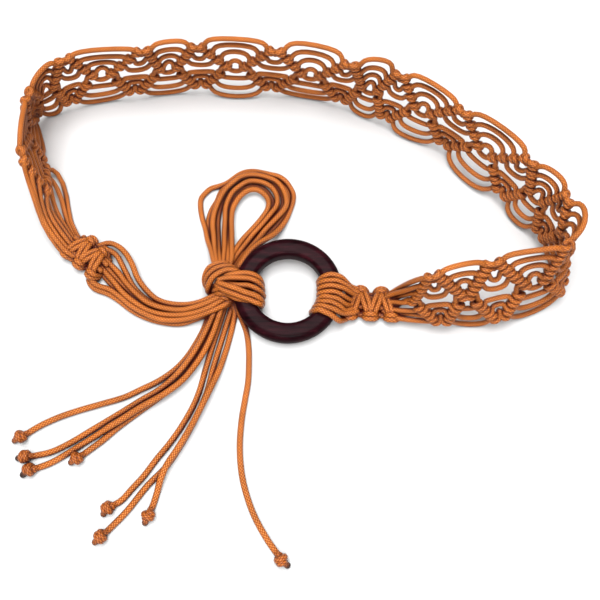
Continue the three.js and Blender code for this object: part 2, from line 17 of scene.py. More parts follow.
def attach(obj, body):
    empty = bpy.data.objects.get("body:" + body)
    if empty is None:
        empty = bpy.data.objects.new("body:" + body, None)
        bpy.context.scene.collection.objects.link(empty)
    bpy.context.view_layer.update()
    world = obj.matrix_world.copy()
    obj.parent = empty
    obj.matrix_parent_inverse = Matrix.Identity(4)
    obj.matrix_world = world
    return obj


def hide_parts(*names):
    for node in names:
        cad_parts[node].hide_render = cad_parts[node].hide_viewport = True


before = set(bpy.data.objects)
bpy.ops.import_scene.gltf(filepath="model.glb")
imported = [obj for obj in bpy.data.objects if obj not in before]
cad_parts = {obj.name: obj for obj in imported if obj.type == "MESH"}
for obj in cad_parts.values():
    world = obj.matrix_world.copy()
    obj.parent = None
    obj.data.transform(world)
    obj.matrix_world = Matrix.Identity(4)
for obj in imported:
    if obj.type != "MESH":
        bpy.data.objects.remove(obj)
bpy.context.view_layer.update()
MM = 0.001
print("solids", len(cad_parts))

# %% [markdown]
# The camera stands over the near side and looks down at 66 degrees, which is where the
# ring's ellipse and the crossing of the far band put it. It is made before the cords,
# because the free cords are judged by what it sees.

# %% Camera
CAMERA_PLACE = (8.9, -228.4, 379.1)
CAMERA_DOWN = 66
camera_data = bpy.data.cameras.new("photo_camera")
camera_data.lens = 45
camera_data.sensor_width = 36
camera = bpy.data.objects.new("photo_camera", camera_data)
camera.location = Vector(CAMERA_PLACE) * MM
camera.rotation_euler = (math.radians(90 - CAMERA_DOWN), 0, 0)
bpy.context.scene.collection.objects.link(camera)
bpy.context.scene.camera = camera
print("camera height", round(camera.location.z, 3))

# %% [markdown]
# Sizes of the real belt in millimetres. The cord is about 3 mm thick, as macrame cord
# for belts is, and all other sizes follow from it and from the ring.

# %% Sizes
CORD = 3.1
R = CORD / 2
DRAWN_R = R * 1.06               # with the fuzz of the cotton
PULLED = 1.48                     # radius of the cord where it is pulled tight in the net
LOOP = (310, 150)
BELT_SHIFT = Vector((4.4, -0.1, 0))
BAND_WIDTH = 39.5
HALF = BAND_WIDTH / 2
SCALLOP_DROP = 5.8
RISE = 0.975
ROW_START = 0.04
FOOT_Z = (SCALLOP_DROP + R - HALF * ROW_START) * RISE + 0.4
HEAD_Z = FOOT_Z + BAND_WIDTH * RISE
RING_OUTER = 58.8
RING_WALL = 10.4
RING_THICK = 10.2
RING_TILT = 7
RING_CENTRE = Vector((2.385, -57.7, 8.5))
NECK_Z = 4.1
print("net stands", round(HEAD_Z, 1), "mm high")

# %% [markdown]
# A cord needs a centreline before it needs a surface. Given points are joined by
# a smooth curve that passes through each of them, and the curve is cut into equal steps
# so that the tube's rings, and later the braid's stitches, are evenly spaced.


# %% Smooth centrelines
def resample(points, step):
    """The same line, with its points about step apart."""
    line = np.array(points, float)
    lengths = np.linalg.norm(np.diff(line, axis=0), axis=1)
    along = np.concatenate([[0], np.cumsum(lengths)])
    count = max(int(round(along[-1] / step)), 2)
    even = np.linspace(0, along[-1], count + 1)
    return np.stack([np.interp(even, along, line[:, i]) for i in range(3)], axis=1)


def smooth(points, step=1.6):
    """A centripetal Catmull-Rom curve through the points, resampled every step."""
    p = [np.array(q, float) for q in points]
    p = [2 * p[0] - p[1], *p, 2 * p[-1] - p[-2]]
    fine = []
    for a, b, c, d in zip(p, p[1:], p[2:], p[3:]):
        tb = np.linalg.norm(b - a) ** 0.5
        tc = tb + np.linalg.norm(c - b) ** 0.5
        td = tc + np.linalg.norm(d - c) ** 0.5
        for share in np.linspace(0, 1, 10, endpoint=False):
            t = tb + (tc - tb) * share
            ab = a + (b - a) * (t / tb)
            bc = b + (c - b) * ((t - tb) / (tc - tb))
            cd = c + (d - c) * ((t - tc) / (td - tc))
            abc = ab + (bc - ab) * (t / tc)
            bcd = bc + (cd - bc) * ((t - tb) / (td - tb))
            fine.append(abc + (bcd - abc) * ((t - tb) / (tc - tb)))
    fine.append(p[-2])
    return resample(fine, step)


# %% [markdown]
# The surface is a tube with eight sides round the centreline. Its sections are carried
# along without twisting, and its ends are rounded and closed. The UV map is in real
# units: U is millimetres along the cord, V is the turn round it, so one braid material
# fits every cord at the same scale, however long or bent the cord is.

# %% Tubes
SIDES = 8
CAP_RINGS = (0.5, 0.87)


def tube(line, radius=R, sides=SIDES):
    """Vertices, faces and UVs of a closed tube along line, all in millimetres."""
    line = np.array(line, float)
    tangents = np.gradient(line, axis=0)
    tangents /= np.linalg.norm(tangents, axis=1)[:, None]
    normal = np.cross(tangents[0], (0.31, 0.2, 0.93))
    normals = []
    for tangent in tangents:
        normal = normal - tangent * normal.dot(tangent)
        normal /= np.linalg.norm(normal)
        normals.append(normal)
    normals = np.array(normals)
    sideways = np.cross(tangents, normals)
    along = np.concatenate([[0], np.cumsum(np.linalg.norm(np.diff(line, axis=0), axis=1))])
    centres = list(zip(line, np.full(len(line), radius), normals, sideways, along))
    for end, way in ((0, -1), (-1, 1)):
        for s in CAP_RINGS:
            reach = radius * s * 0.7
            row = (line[end] + tangents[end] * way * reach, radius * math.sqrt(1 - s * s),
                   normals[end], sideways[end], along[end] + way * reach)
            centres.insert(0, row) if way < 0 else centres.append(row)
    turn = np.arange(sides) / sides * 2 * math.pi
    rings = np.concatenate([
        c + r * (np.cos(turn)[:, None] * n + np.sin(turn)[:, None] * b)
        for c, r, n, b, _ in centres])
    poles = [line[0] - tangents[0] * radius * 0.7, line[-1] + tangents[-1] * radius * 0.7]
    verts = np.concatenate([rings, poles])
    faces, uvs = [], []
    count = len(centres)
    for i in range(count - 1):
        u, v = centres[i][4], centres[i + 1][4]
        for j in range(sides):
            k = (j + 1) % sides
            faces.append((i * sides + j, i * sides + k, (i + 1) * sides + k, (i + 1) * sides + j))
            uvs += [(u, j / sides), (u, (j + 1) / sides), (v, (j + 1) / sides), (v, j / sides)]
    first, last = count * sides, count * sides + 1
    for j in range(sides):
        k = (j + 1) % sides
        low, high = j / sides, (j + 1) / sides
        u, v = centres[0][4], centres[-1][4]
        faces.append((first, k, j))
        uvs += [(u, low), (u, high), (u, low)]
        top = (count - 1) * sides
        faces.append((last, top + j, top + k))
        uvs += [(v, low), (v, low), (v, high)]
    return verts, faces, uvs


def strands_object(name, lines, radius=DRAWN_R):
    """One mesh object of a tube along each line."""
    verts, faces, uvs = [], [], []
    base = 0
    for line in lines:
        v, f, uv = tube(line, radius)
        verts.append(v)
        faces += [tuple(base + i for i in face) for face in f]
        uvs += uv
        base += len(v)
    mesh = bpy.data.meshes.new(name)
    mesh.from_pydata((np.concatenate(verts) * MM).tolist(), [], faces)
    layer = mesh.uv_layers.new(name="cord_mm")
    layer.data.foreach_set("uv", np.array(uvs, np.float32).ravel())
    mesh.shade_smooth()
    mesh.update()
    piece = bpy.data.objects.new(name, mesh)
    bpy.context.scene.collection.objects.link(piece)
    print(name, len(lines), "strands", len(faces), "faces")
    return piece


# %% [markdown]
# Colours are written as sRGB hex values, as a colour picker gives them, and turned to
# linear light by one function. One more function adds a shader node with its settings
# and its links, so that a material reads from top to bottom.


# %% Material helpers
def linear(hex_colour):
    parts = [int(hex_colour[i:i + 2], 16) / 255 for i in (1, 3, 5)]
    parts = [c / 12.92 if c <= 0.04045 else ((c + 0.055) / 1.055) ** 2.4 for c in parts]
    return (*parts, 1)


def node(tree, kind, inputs=None, **settings):
    """A new node: inputs holds a value, or an output socket to link, for each input."""
    made = tree.nodes.new(kind)
    for key, value in settings.items():
        setattr(made, key, value)
    for key, value in (inputs or {}).items():
        if isinstance(value, bpy.types.NodeSocket):
            tree.links.new(value, made.inputs[key])
        else:
            made.inputs[key].default_value = value
    return made


def new_material(name):
    material = bpy.data.materials.new(name)
    material.use_nodes = True
    tree = material.node_tree
    tree.nodes.clear()
    output = tree.nodes.new("ShaderNodeOutputMaterial")
    shader = tree.nodes.new("ShaderNodeBsdfPrincipled")
    tree.links.new(shader.outputs[0], output.inputs[0])
    return material, tree, shader


def ramp(tree, source, stops):
    made = node(tree, "ShaderNodeValToRGB", {0: source})
    made.color_ramp.elements[0].position = stops[0][0]
    made.color_ramp.elements[0].color = linear(stops[0][1])
    made.color_ramp.elements[1].position = stops[-1][0]
    made.color_ramp.elements[1].color = linear(stops[-1][1])
    for position, colour in stops[1:-1]:
        made.color_ramp.elements.new(position).color = linear(colour)
    return made.outputs[0]


# %% [markdown]
# Waxed braided cotton cord, caramel brown. It is a round braid of small bundles that run both
# ways round a core, so the eye sees a fine herringbone of short ridges with dark pits
# between them, and a soft waxy shine. The pits are coloured darker and the ridges lighter
# as painted shade and light, and painted shade darkens the creases between cords and next
# to the table. The real stitch is about 1.1 mm long; it is drawn at 1.7 mm, because a
# finer one vanishes at the size of the photograph.

# %% Cord material
STITCH = 1.7
BUNDLES_ROUND = 3
CREASE_SHADE_DISTANCE = 5.2                      # painted shade: the colour darkens where another cord or the table is this near


def braid_height(tree):
    """0 in the pits of the braid, 1 on its ridges, from the cord's own UV map."""
    uv = node(tree, "ShaderNodeUVMap", uv_map="cord_mm")
    split = node(tree, "ShaderNodeSeparateXYZ", {0: uv.outputs[0]})
    along = node(tree, "ShaderNodeMath", {0: split.outputs[0], 1: math.pi / STITCH},
                 operation="MULTIPLY")
    round_it = node(tree, "ShaderNodeMath", {0: split.outputs[1], 1: 2 * math.pi * BUNDLES_ROUND},
                    operation="MULTIPLY")
    waves = []
    for way in ("ADD", "SUBTRACT"):
        phase = node(tree, "ShaderNodeMath", {0: along.outputs[0], 1: round_it.outputs[0]},
                     operation=way)
        waves.append(node(tree, "ShaderNodeMath", {0: phase.outputs[0]}, operation="SINE"))
    product = node(tree, "ShaderNodeMath", {0: waves[0].outputs[0], 1: waves[1].outputs[0]},
                   operation="MULTIPLY")
    size = node(tree, "ShaderNodeMath", {0: product.outputs[0]}, operation="ABSOLUTE")
    return node(tree, "ShaderNodeMath", {0: size.outputs[0], 1: 0.55}, operation="POWER").outputs[0]


def cord_material(name, shaded_pit, middle, lit_ridge):
    material, tree, shader = new_material(name)
    height = braid_height(tree)
    place = node(tree, "ShaderNodeTexCoord")
    patches = node(tree, "ShaderNodeTexNoise", {"Vector": place.outputs["Object"],
                                                "Scale": 90.0, "Detail": 2.0})
    fibres = node(tree, "ShaderNodeTexNoise", {"Vector": place.outputs["Object"],
                                               "Scale": 1400.0, "Detail": 3.0})
    # painted shade and light: the braid's pits are coloured dark and its ridges light, on top of the bump that
    # shapes them
    base = ramp(tree, height, [(0.0, shaded_pit), (0.45, middle), (1.0, lit_ridge)])
    uneven = node(tree, "ShaderNodeMapRange", {"Value": patches.outputs[0], "From Min": 0.3,
                                               "From Max": 0.7, "To Min": 0.86, "To Max": 1.12})
    specks = node(tree, "ShaderNodeMapRange", {"Value": fibres.outputs[0], "From Min": 0.3,
                                               "From Max": 0.7, "To Min": 0.86, "To Max": 1.14})
    both = node(tree, "ShaderNodeMath", {0: uneven.outputs[0], 1: specks.outputs[0]},
                operation="MULTIPLY")
    tint = node(tree, "ShaderNodeVectorMath", {0: base, 1: both.outputs[0]},
                operation="MULTIPLY")
    # painted shade: ambient occlusion darkens the colour towards #641806 in creases between cords and next to the
    # table
    crease_occlusion = node(tree, "ShaderNodeAmbientOcclusion", {"Distance": CREASE_SHADE_DISTANCE * MM}, samples=6)
    unshaded_share = node(tree, "ShaderNodeMapRange", {"Value": crease_occlusion.outputs["AO"],
                                                   "From Min": 0.42, "From Max": 1.0})
    painted_crease_shade = node(tree, "ShaderNodeMix", {"Factor": unshaded_share.outputs[0], 6: linear("#641806"),
                                        7: linear("#FFFFFF")}, data_type="RGBA")
    shaded = node(tree, "ShaderNodeVectorMath", {0: tint.outputs[0], 1: painted_crease_shade.outputs[2]},
                  operation="MULTIPLY")
    tree.links.new(shaded.outputs[0], shader.inputs["Base Color"])
    bump = node(tree, "ShaderNodeBump", {"Height": height, "Strength": 0.8, "Distance": 0.00035})
    fine = node(tree, "ShaderNodeBump", {"Height": fibres.outputs[0], "Strength": 0.35,
                                         "Distance": 0.0002, "Normal": bump.outputs[0]})
    tree.links.new(fine.outputs[0], shader.inputs["Normal"])
    shader.inputs["Roughness"].default_value = 0.4
    shader.inputs["IOR"].default_value = 1.5
    shader.inputs["Specular IOR Level"].default_value = 0.3
    return material


waxed_cord = cord_material("waxed_braided_cord", "#561E04", "#A65415", "#C67832")
print("material", waxed_cord.name)

# %% [markdown]
# The free ends of the cords. Eight tails leave the tie under the ring's left side and
# run to the front, some over others. Each is shown from end to end, so its length is
# what the picture shows. The routes are those of the imported solids, and each tail
# ends in the small overhand knot that stops its end from fraying.

# %% Tail routes
TAIL_ROUTES = [
    [(-27.6, -71, 1.65), (-26.2, -74.2, 1.65), (-24.6, -78.6, 1.65), (-23.1, -87.2, 1.65),
     (-22.6, -98.5, 1.65), (-22.8, -107.9, 1.65), (-24.1, -117.1, 1.65), (-25.5, -127.8, 1.65),
     (-26, -142.3, 1.65), (-24.1, -157.8, 1.65), (-18.6, -174.1, 1.65), (-11.2, -186.9, 1.65),
     (-6.5, -193.2, 1.65)],
    [(-31.4, -71.4, 1.65), (-32.5, -78, 1.65), (-35, -89.5, 1.65), (-38, -101, 3.2),
     (-42.6, -113.3, 5.1), (-46.5, -122.4, 5.1), (-51.8, -133.9, 5.1), (-57, -143.5, 5.1),
     (-62, -152, 5.1), (-64.4, -158.4, 4.4), (-66, -164, 2), (-67.5, -170, 1.65),
     (-68.4, -172.5, 1.65)],
    [(-34, -69, 1.65), (-36.2, -78, 1.65), (-39, -89.5, 1.65), (-41.6, -100.7, 1.65),
     (-43.9, -112.3, 1.65), (-47, -121.4, 1.65), (-52, -133, 1.65), (-57, -142.8, 1.65),
     (-62.7, -151.9, 1.65), (-71.2, -161.2, 1.65), (-80.5, -173.8, 1.65), (-89, -183, 1.65)],
    [(-37.7, -69, 1.65), (-40, -78, 1.65), (-42.9, -89.5, 1.65), (-45.5, -100.7, 1.65),
     (-48, -112.3, 1.65), (-51.2, -121.4, 1.65), (-56.6, -132, 1.65), (-61.8, -140.2, 1.65),
     (-67.5, -147.8, 1.65), (-73.5, -156.6, 1.65), (-78.7, -162.7, 1.65), (-83.3, -168.3, 1.65),
     (-86.3, -170.2, 1.65)],
    [(-45.3, -69.6, 1.65), (-47.6, -77.5, 1.65), (-51.2, -85.5, 1.65), (-56, -94, 1.65),
     (-62, -101, 1.65), (-70, -107, 1.65), (-79.1, -111.8, 1.65), (-86.6, -115.6, 1.65),
     (-98.3, -119.3, 1.65), (-109.8, -122.8, 1.65), (-120.4, -126.7, 1.65),
     (-129.6, -131.4, 1.65), (-134.5, -134.8, 1.65)],
    [(-43.4, -73, 5.1), (-45.6, -79, 5.1), (-49.2, -87.4, 5.1), (-54, -96.2, 5.1),
     (-60, -104.5, 4.8), (-69, -111.6, 1.9), (-78.7, -117.7, 1.65), (-88.9, -124.6, 1.65),
     (-102.7, -133.6, 1.65), (-112.2, -139.8, 1.65), (-121.3, -144.4, 1.65), (-130, -146.4, 1.65)],
    [(-39.8, -72.6, 5.1), (-41.8, -80, 5.1), (-45.4, -89.4, 5.1), (-50.4, -98.8, 5.1),
     (-57, -107.7, 5.1), (-66.4, -115.4, 5.1), (-77.7, -122.3, 5.1), (-87.6, -129.2, 5.05),
     (-92.4, -132, 4.4), (-97, -134.6, 2.4), (-105.8, -140.3, 1.65), (-113.6, -145.6, 1.65),
     (-120.6, -149.8, 1.65), (-127, -152.4, 1.65)],
    [(-41.5, -69.6, 1.65), (-43.8, -78.5, 1.65), (-47.2, -87.6, 1.65), (-52, -96.8, 1.65),
     (-58.2, -106, 1.65), (-67, -114.4, 1.65), (-78, -123, 1.65), (-88.6, -131.6, 1.65),
     (-96.3, -138.8, 1.65), (-101.8, -143.2, 1.65), (-104.8, -145.6, 1.65)],
]
print("tails", len(TAIL_ROUTES))

# %% [markdown]
# The overhand knot is one loop of the cord round itself, pulled tight, with a stub of a
# few millimetres beyond it. The stub was held to a flame, which melts the fibres to a
# dark bead. The knot's loop is drawn once, along its own cord, and laid on each tail.
# Its last millimetres carry a singe attribute that darkens the material there.

# %% End knots
KNOT_TURNS = 2.1
KNOT_REACH = 1.75                 # mm each way along the tail
KNOT_ACROSS = 1.95
STUBS = (4.1, 3.6, 3.9, 3.6, 3.8, 4.2, 4.3, 3.7)
SINGE = 1.9
SINGED = (0.6, 0.4, 0.2, 0.3, 0.2, 0.9, 1.0, 0.3)   # share of R that each flame reached


def knot_lines(tail, stub, turn):
    """The tail's end through the knot, and the turns that are wound back over it."""
    end = tail[-1]
    way = (tail[-1] - tail[-3]) * (1, 1, 0)
    way /= np.linalg.norm(way)
    left = np.array((-way[1], way[0], 0))
    up = np.array((0, 0, 1))
    centre = end + way * 3.4
    centre[2] = DRAWN_R + KNOT_ACROSS + 0.05
    tip = centre + way * stub + left * math.cos(turn) * 0.8
    tip[2] = DRAWN_R + 0.05
    core = smooth([end - way * 0.4, centre - way * 1.4, centre + way * 1.4, tip], 0.9)
    wound = []
    steps = 26
    for i in range(steps + 1):
        share = i / steps
        angle = turn + share * KNOT_TURNS * 2 * math.pi
        across = KNOT_ACROSS * min(1, share * 6, (1 - share) * 6)
        along = KNOT_REACH * (1 - 2 * share) + 0.5 * math.sin(angle)
        wound.append(centre + way * along
                     + (left * math.cos(angle) + up * math.sin(angle)) * across)
    return core, smooth(wound, 0.9)


singed_cord = cord_material("singed_cord_end", "#4A1804", "#964A12", "#B0642A")


def add_singe(material, dark):
    tree = material.node_tree
    shader = next(n for n in tree.nodes if n.type == "BSDF_PRINCIPLED")
    colour = shader.inputs["Base Color"].links[0].from_socket
    singe = node(tree, "ShaderNodeAttribute", attribute_name="singe")
    mix = node(tree, "ShaderNodeMix", {"Factor": singe.outputs["Fac"], 6: colour,
                                       7: linear(dark)}, data_type="RGBA")
    tree.links.new(mix.outputs[2], shader.inputs["Base Color"])


add_singe(singed_cord, "#2A140C")

# %% Tails
tails, knots = [], []
for number, route in enumerate(TAIL_ROUTES):
    shifted = [np.array(p) + np.array(BELT_SHIFT) for p in route]
    line = smooth(shifted, 2.4)
    name = f"tail_strand_{number + 1:02d}"
    tail = strands_object(name, [line])
    core, wound = knot_lines(line, STUBS[number], number * 2.1)
    knot = strands_object(f"tail_knot_{number + 1:02d}", [core, wound])
    tip = core[-1] * MM
    burnt = knot.data.attributes.new("singe", "FLOAT", "POINT")
    for vertex, value in zip(knot.data.vertices, burnt.data):
        away = (vertex.co - Vector(tip)).length / MM
        value.value = min(max((SINGE + R * SINGED[number] - away) / 1.2, 0), 1)
    tail.data.materials.append(waxed_cord)
    knot.data.materials.append(singed_cord)
    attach(tail, "root")
    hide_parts(f"tail_{number + 1:02d}")
    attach(knot, "root")
    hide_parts(f"end_knot_{number + 1:02d}")
    tails.append(tail)
    knots.append(knot)
print("tails done")

# %% [markdown]
# The ring is turned from dark wood and lacquered. It starts as a flat plane the size of
# the wall's section. Its corners are bevelled, tight at the hole and round outside, the
# outline is spun once round, and the ring is tilted, because the tie lifts its far edge.

# %% Ring
bpy.ops.object.select_all(action="DESELECT")
middle_radius = RING_OUTER / 2 - RING_WALL / 2
bpy.ops.mesh.primitive_plane_add(size=1, location=(0, 0, 0))
ring = bpy.context.object
ring.name = "turned_ring"
ring.data.name = "turned_ring"
bpy.ops.object.mode_set(mode="EDIT")
bpy.ops.mesh.select_all(action="SELECT")
bpy.ops.transform.resize(value=(RING_WALL * MM, RING_THICK * MM, 1))
bpy.ops.transform.rotate(value=math.pi / 2, orient_axis="X", center_override=(0, 0, 0))
bpy.ops.transform.translate(value=(middle_radius * MM, 0, 0))
bpy.ops.mesh.delete(type="ONLY_FACE")


def pick(piece, test):
    """Selects the vertices that pass the test, by their place."""
    mesh = bmesh.from_edit_mesh(piece.data)
    for vertex in mesh.verts:
        vertex.select_set(test(vertex.co))
    mesh.select_flush_mode()
    mesh.select_flush(True)
    bmesh.update_edit_mesh(piece.data)


bpy.ops.mesh.select_mode(type="VERT")
pick(ring, lambda co: co.x < middle_radius * MM)
bpy.ops.mesh.bevel(offset=2.3 * MM, segments=3, profile=0.45, affect="VERTICES")
pick(ring, lambda co: co.x > (RING_OUTER / 2 - 0.1) * MM)
bpy.ops.mesh.bevel(offset=4.1 * MM, segments=7, profile=0.5, affect="VERTICES")
bpy.ops.mesh.select_all(action="SELECT")
bpy.ops.mesh.spin(steps=120, angle=2 * math.pi, center=(0, 0, 0), axis=(0, 0, 1))
bpy.ops.mesh.select_all(action="SELECT")
bpy.ops.mesh.remove_doubles(threshold=0.00002)
bpy.ops.mesh.normals_make_consistent(inside=False)
bpy.ops.transform.rotate(value=-math.radians(RING_TILT), orient_axis="X",
                         center_override=(0, 0, 0))
bpy.ops.transform.translate(value=tuple(RING_CENTRE * MM))
bpy.ops.object.mode_set(mode="OBJECT")
bpy.ops.object.shade_smooth()
ring_low = min(v.co.z for v in ring.data.vertices) / MM
far_side = [v.co.z for v in ring.data.vertices if v.co.y > (RING_CENTRE.y + 20) * MM]
near_side = [v.co.z for v in ring.data.vertices if v.co.y < (RING_CENTRE.y - 20) * MM]
print("ring lowest", round(ring_low, 2), "far", max(far_side), "near", max(near_side))

# %% [markdown]
# Lacquered dark wood: almost black with a red undertone, smooth, with thin streaks of
# grain that only show where light grazes them. The lacquer is a clear coat.

# %% Ring material
lacquered, tree, shader = new_material("lacquered_dark_wood")
place = node(tree, "ShaderNodeTexCoord")
mapping = node(tree, "ShaderNodeMapping", {"Vector": place.outputs["Object"],
                                           "Scale": (60.0, 420.0, 420.0)})
grain = node(tree, "ShaderNodeTexNoise", {"Vector": mapping.outputs[0], "Scale": 1.0,
                                          "Detail": 6.0, "Roughness": 0.65})
colour = ramp(tree, grain.outputs[0], [(0.3, "#0C0204"), (0.55, "#21070D"), (0.75, "#371118")])
tree.links.new(colour, shader.inputs["Base Color"])
pores = node(tree, "ShaderNodeBump", {"Height": grain.outputs[0], "Strength": 0.25,
                                      "Distance": 0.0003})
tree.links.new(pores.outputs[0], shader.inputs["Normal"])
shader.inputs["Roughness"].default_value = 0.45
shader.inputs["IOR"].default_value = 1.5
shader.inputs["Specular IOR Level"].default_value = 0.03
shader.inputs["Coat Weight"].default_value = 0.02
shader.inputs["Coat Roughness"].default_value = 0.12
ring.data.materials.append(lacquered)
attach(ring, "root")
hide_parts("ring")
print("ring faces", len(ring.data.polygons))

# %% [markdown]
# The net lies on a band: a strip between a lower line of knots and an upper one, which
# stands on its edge and leans in or out. Any point of the net is given as a post, a
# distance along the belt from it, a height from the band's middle line, and a distance
# outwards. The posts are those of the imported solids.

# %% Band
POSTS = [  # foot x, y and head x, y as shares of half the loop; foot lift; head rise
    (-0.762, -0.305, -0.812, -0.425, 0.62, 0.15), (-0.942, 0.333, -0.939, 0.093, 1, 0.91),
    (-1.008, 0.790, -0.954, 0.613, 1, 0.95), (-0.875, 0.940, -0.835, 0.940, 1, 1),
    (-0.634, 1.043, -0.552, 1.020, 1, 1), (-0.368, 1.108, -0.352, 1.060, 1, 1),
    (-0.087, 1.081, -0.061, 1.020, 1, 1), (0.186, 0.964, 0.210, 0.887, 1, 1),
    (0.363, 0.777, 0.397, 0.780, 1, 1), (0.581, 0.523, 0.610, 0.447, 1, 1),
    (0.774, 0.067, 0.816, 0.020, 1, 1), (0.895, -0.303, 0.926, -0.287, 1, 1),
    (0.948, -0.751, 0.895, -0.667, 1, 0.99), (0.720, -0.971, 0.655, -0.780, 1, 0.96),
    (0.520, -0.991, 0.455, -0.877, 1, 0.96), (0.352, -0.967, 0.352, -0.755, 0.62, 0.16),
]
LAST = len(POSTS) - 1
FEET = [Vector((p[0] * LOOP[0] / 2, p[1] * LOOP[1] / 2, FOOT_Z * p[4])) + BELT_SHIFT for p in POSTS]
HEADS = [Vector((p[2] * LOOP[0] / 2, p[3] * LOOP[1] / 2, HEAD_Z * p[5])) + BELT_SHIFT for p in POSTS]


def through(points, at):
    """Point and direction on the even Catmull-Rom curve at a post number."""
    at = min(max(at, 0), LAST)
    i = min(int(at), LAST - 1)
    w = at - i
    b, c = points[i], points[i + 1]
    a = points[i - 1] if i else 2 * b - c
    d = points[i + 2] if i + 2 <= LAST else 2 * c - b
    m, n = (c - a) / 2, (d - b) / 2
    place = (b * (2 * w ** 3 - 3 * w * w + 1) + m * (w ** 3 - 2 * w * w + w)
             + c * (3 * w * w - 2 * w ** 3) + n * (w ** 3 - w * w))
    way = (b * (6 * w * w - 6 * w) + m * (3 * w * w - 4 * w + 1)
           + c * (6 * w - 6 * w * w) + n * (3 * w * w - 2 * w))
    return place, way.normalized()


def band(post, v, out):
    foot, foot_way = through(FEET, post)
    head, head_way = through(HEADS, post)
    up = head - foot
    normal = up.cross(foot_way + head_way).normalized()
    return (foot + head) / 2 + up * (v / BAND_WIDTH) + normal * out


def unit_length(post):
    a, b, c = band(post, 0, 0), band(post + 0.5, 0, 0), band(post + 1, 0, 0)
    return (b - a).length + (c - b).length


LENGTHS = [unit_length(i) for i in range(LAST)]


FEET_OUT = {11: 0.8, 12: 0.4, 13: 1.2, 14: 1.4}   # lower edge, outwards, by post


def feet_out(post, v):
    """How far the lower edge stands out of the band at a post."""
    low = min(int(post), LAST)
    share = post - low
    out = FEET_OUT.get(low, 0) * (1 - share) + FEET_OUT.get(low + 1, 0) * share
    return out * max(0, 6 - v) / 24


def on_band(unit, u, v, w):
    """A point u mm after post number unit; a negative u is before it."""
    w += feet_out(unit + u / LENGTHS[unit], v)
    if u < 0 and unit > 0:
        return np.array(band(unit + u / LENGTHS[unit - 1], v, w))
    if u > LENGTHS[unit] and unit + 1 < LAST:
        return np.array(band(unit + 1 + (u - LENGTHS[unit]) / LENGTHS[unit + 1], v, w))
    return np.array(band(unit + u / LENGTHS[unit], v, w))


print("unit lengths", [round(x, 1) for x in LENGTHS])

# %% [markdown]
# The knot of the net is the double half hitch: a working cord is wound twice round a
# leading cord, passes behind its own two turns, and comes out between them. From the
# front it shows two bars side by side. It is drawn along its leader once, with a few
# points per turn, and used about two hundred times.

# %% Double half hitch
INSIDE_HITCH = (2.6, 2.05, 1.6)    # pitch, and the turns' radius across and towards the eye
OUTSIDE_HITCH = (3.7, 2.3, 1.9)
HITCH_TURNS = 1.5
FIRST_KNOT = (2.6, 19.0)
FIRST_LOWER = (3.6, 17.2)         # the lower rows are a little steeper
MIDDLE_KNOT = (5.6, 1.8)          # from a unit's middle to its last knots
CLOSED_MIDDLE = (2.4, 1.6)        # where the rows run into each other without an eye
KNOTS_IN_ROW = 3
TURN_POINTS = 12


def hitch_shape(pitch, across, deep):
    """Points of the working cord: along the leader, to the side it leaves on, forwards."""
    half = pitch * HITCH_TURNS / 2
    points = [(-0.4 * half, -across - 1.0, -0.2)]
    for i in range(1, round(TURN_POINTS * HITCH_TURNS) + 1):
        t = i / TURN_POINTS
        angle = math.pi * (1 - 2 * t)
        points.append((pitch * t - half, across * math.cos(angle),
                       deep * math.sin(angle)))
    for i in range(1, TURN_POINTS // 2 + 1):
        share = i / (TURN_POINTS / 2)
        angle = -share * math.pi
        points.append((half * (1 - share), across * math.cos(angle) * 0.9,
                       (deep + 0.3) * math.sin(angle)))
    points += [(0, -1.2, 0.5), (0, -0.3, 0.8), (0, 0.9, 0.8), (0, 2.1, 0.5), (0, 3.0, 0.2)]
    return points


HITCHES = {-1: hitch_shape(*INSIDE_HITCH), 1: hitch_shape(*OUTSIDE_HITCH)}   # by the face they show


def row_places(length, middle=MIDDLE_KNOT, start=FIRST_KNOT):
    """Places of the knots on the upper left row of a unit, and the row's direction."""
    first = np.array(start)
    last = np.array((length / 2 - middle[0], middle[1]))
    axis = (last - first) / np.linalg.norm(last - first)
    return [first + (last - first) * k / KNOTS_IN_ROW for k in range(KNOTS_IN_ROW + 1)], axis


def hitch_at(centre, axis, face):
    """The hitch's points in (u, v, w), on a leader that runs along axis."""
    side = np.array((-axis[1], axis[0]))
    points = []
    for a, s, f in HITCHES[face]:
        u, v = centre + axis * a + side * s
        points.append((u, v, face * f))
    return points


def arc(start, end, middle_v, flat=2.0, out=0.0, count=10):
    """A float between two knots, middle_v high halfway; flat above 2 squares its corners."""
    points = []
    rise = middle_v - (start[1] + end[1]) / 2
    for i in range(1, count):
        angle = math.pi * i / count
        c, s = math.cos(angle), math.sin(angle)
        share = 0.5 - 0.5 * math.copysign(abs(c) ** (2 / flat), c)
        base = [(1 - share) * x + share * y for x, y in zip(start, end)]
        high = s ** (2 / flat)
        points.append((base[0], base[1] + rise * high, base[2] + out * high))
    return points


print("points in a hitch", [len(shape) for shape in HITCHES.values()])

# %% [markdown]
# Each unit of the net is a cross of knot rows. The upper leader comes in at the upper
# edge, runs down the left row to the middle and up the right row again, and the lower
# leader mirrors it. Three working cords above and three below are hitched on the rows,
# and float in arcs over the tops of the rows and round the diamonds between units.

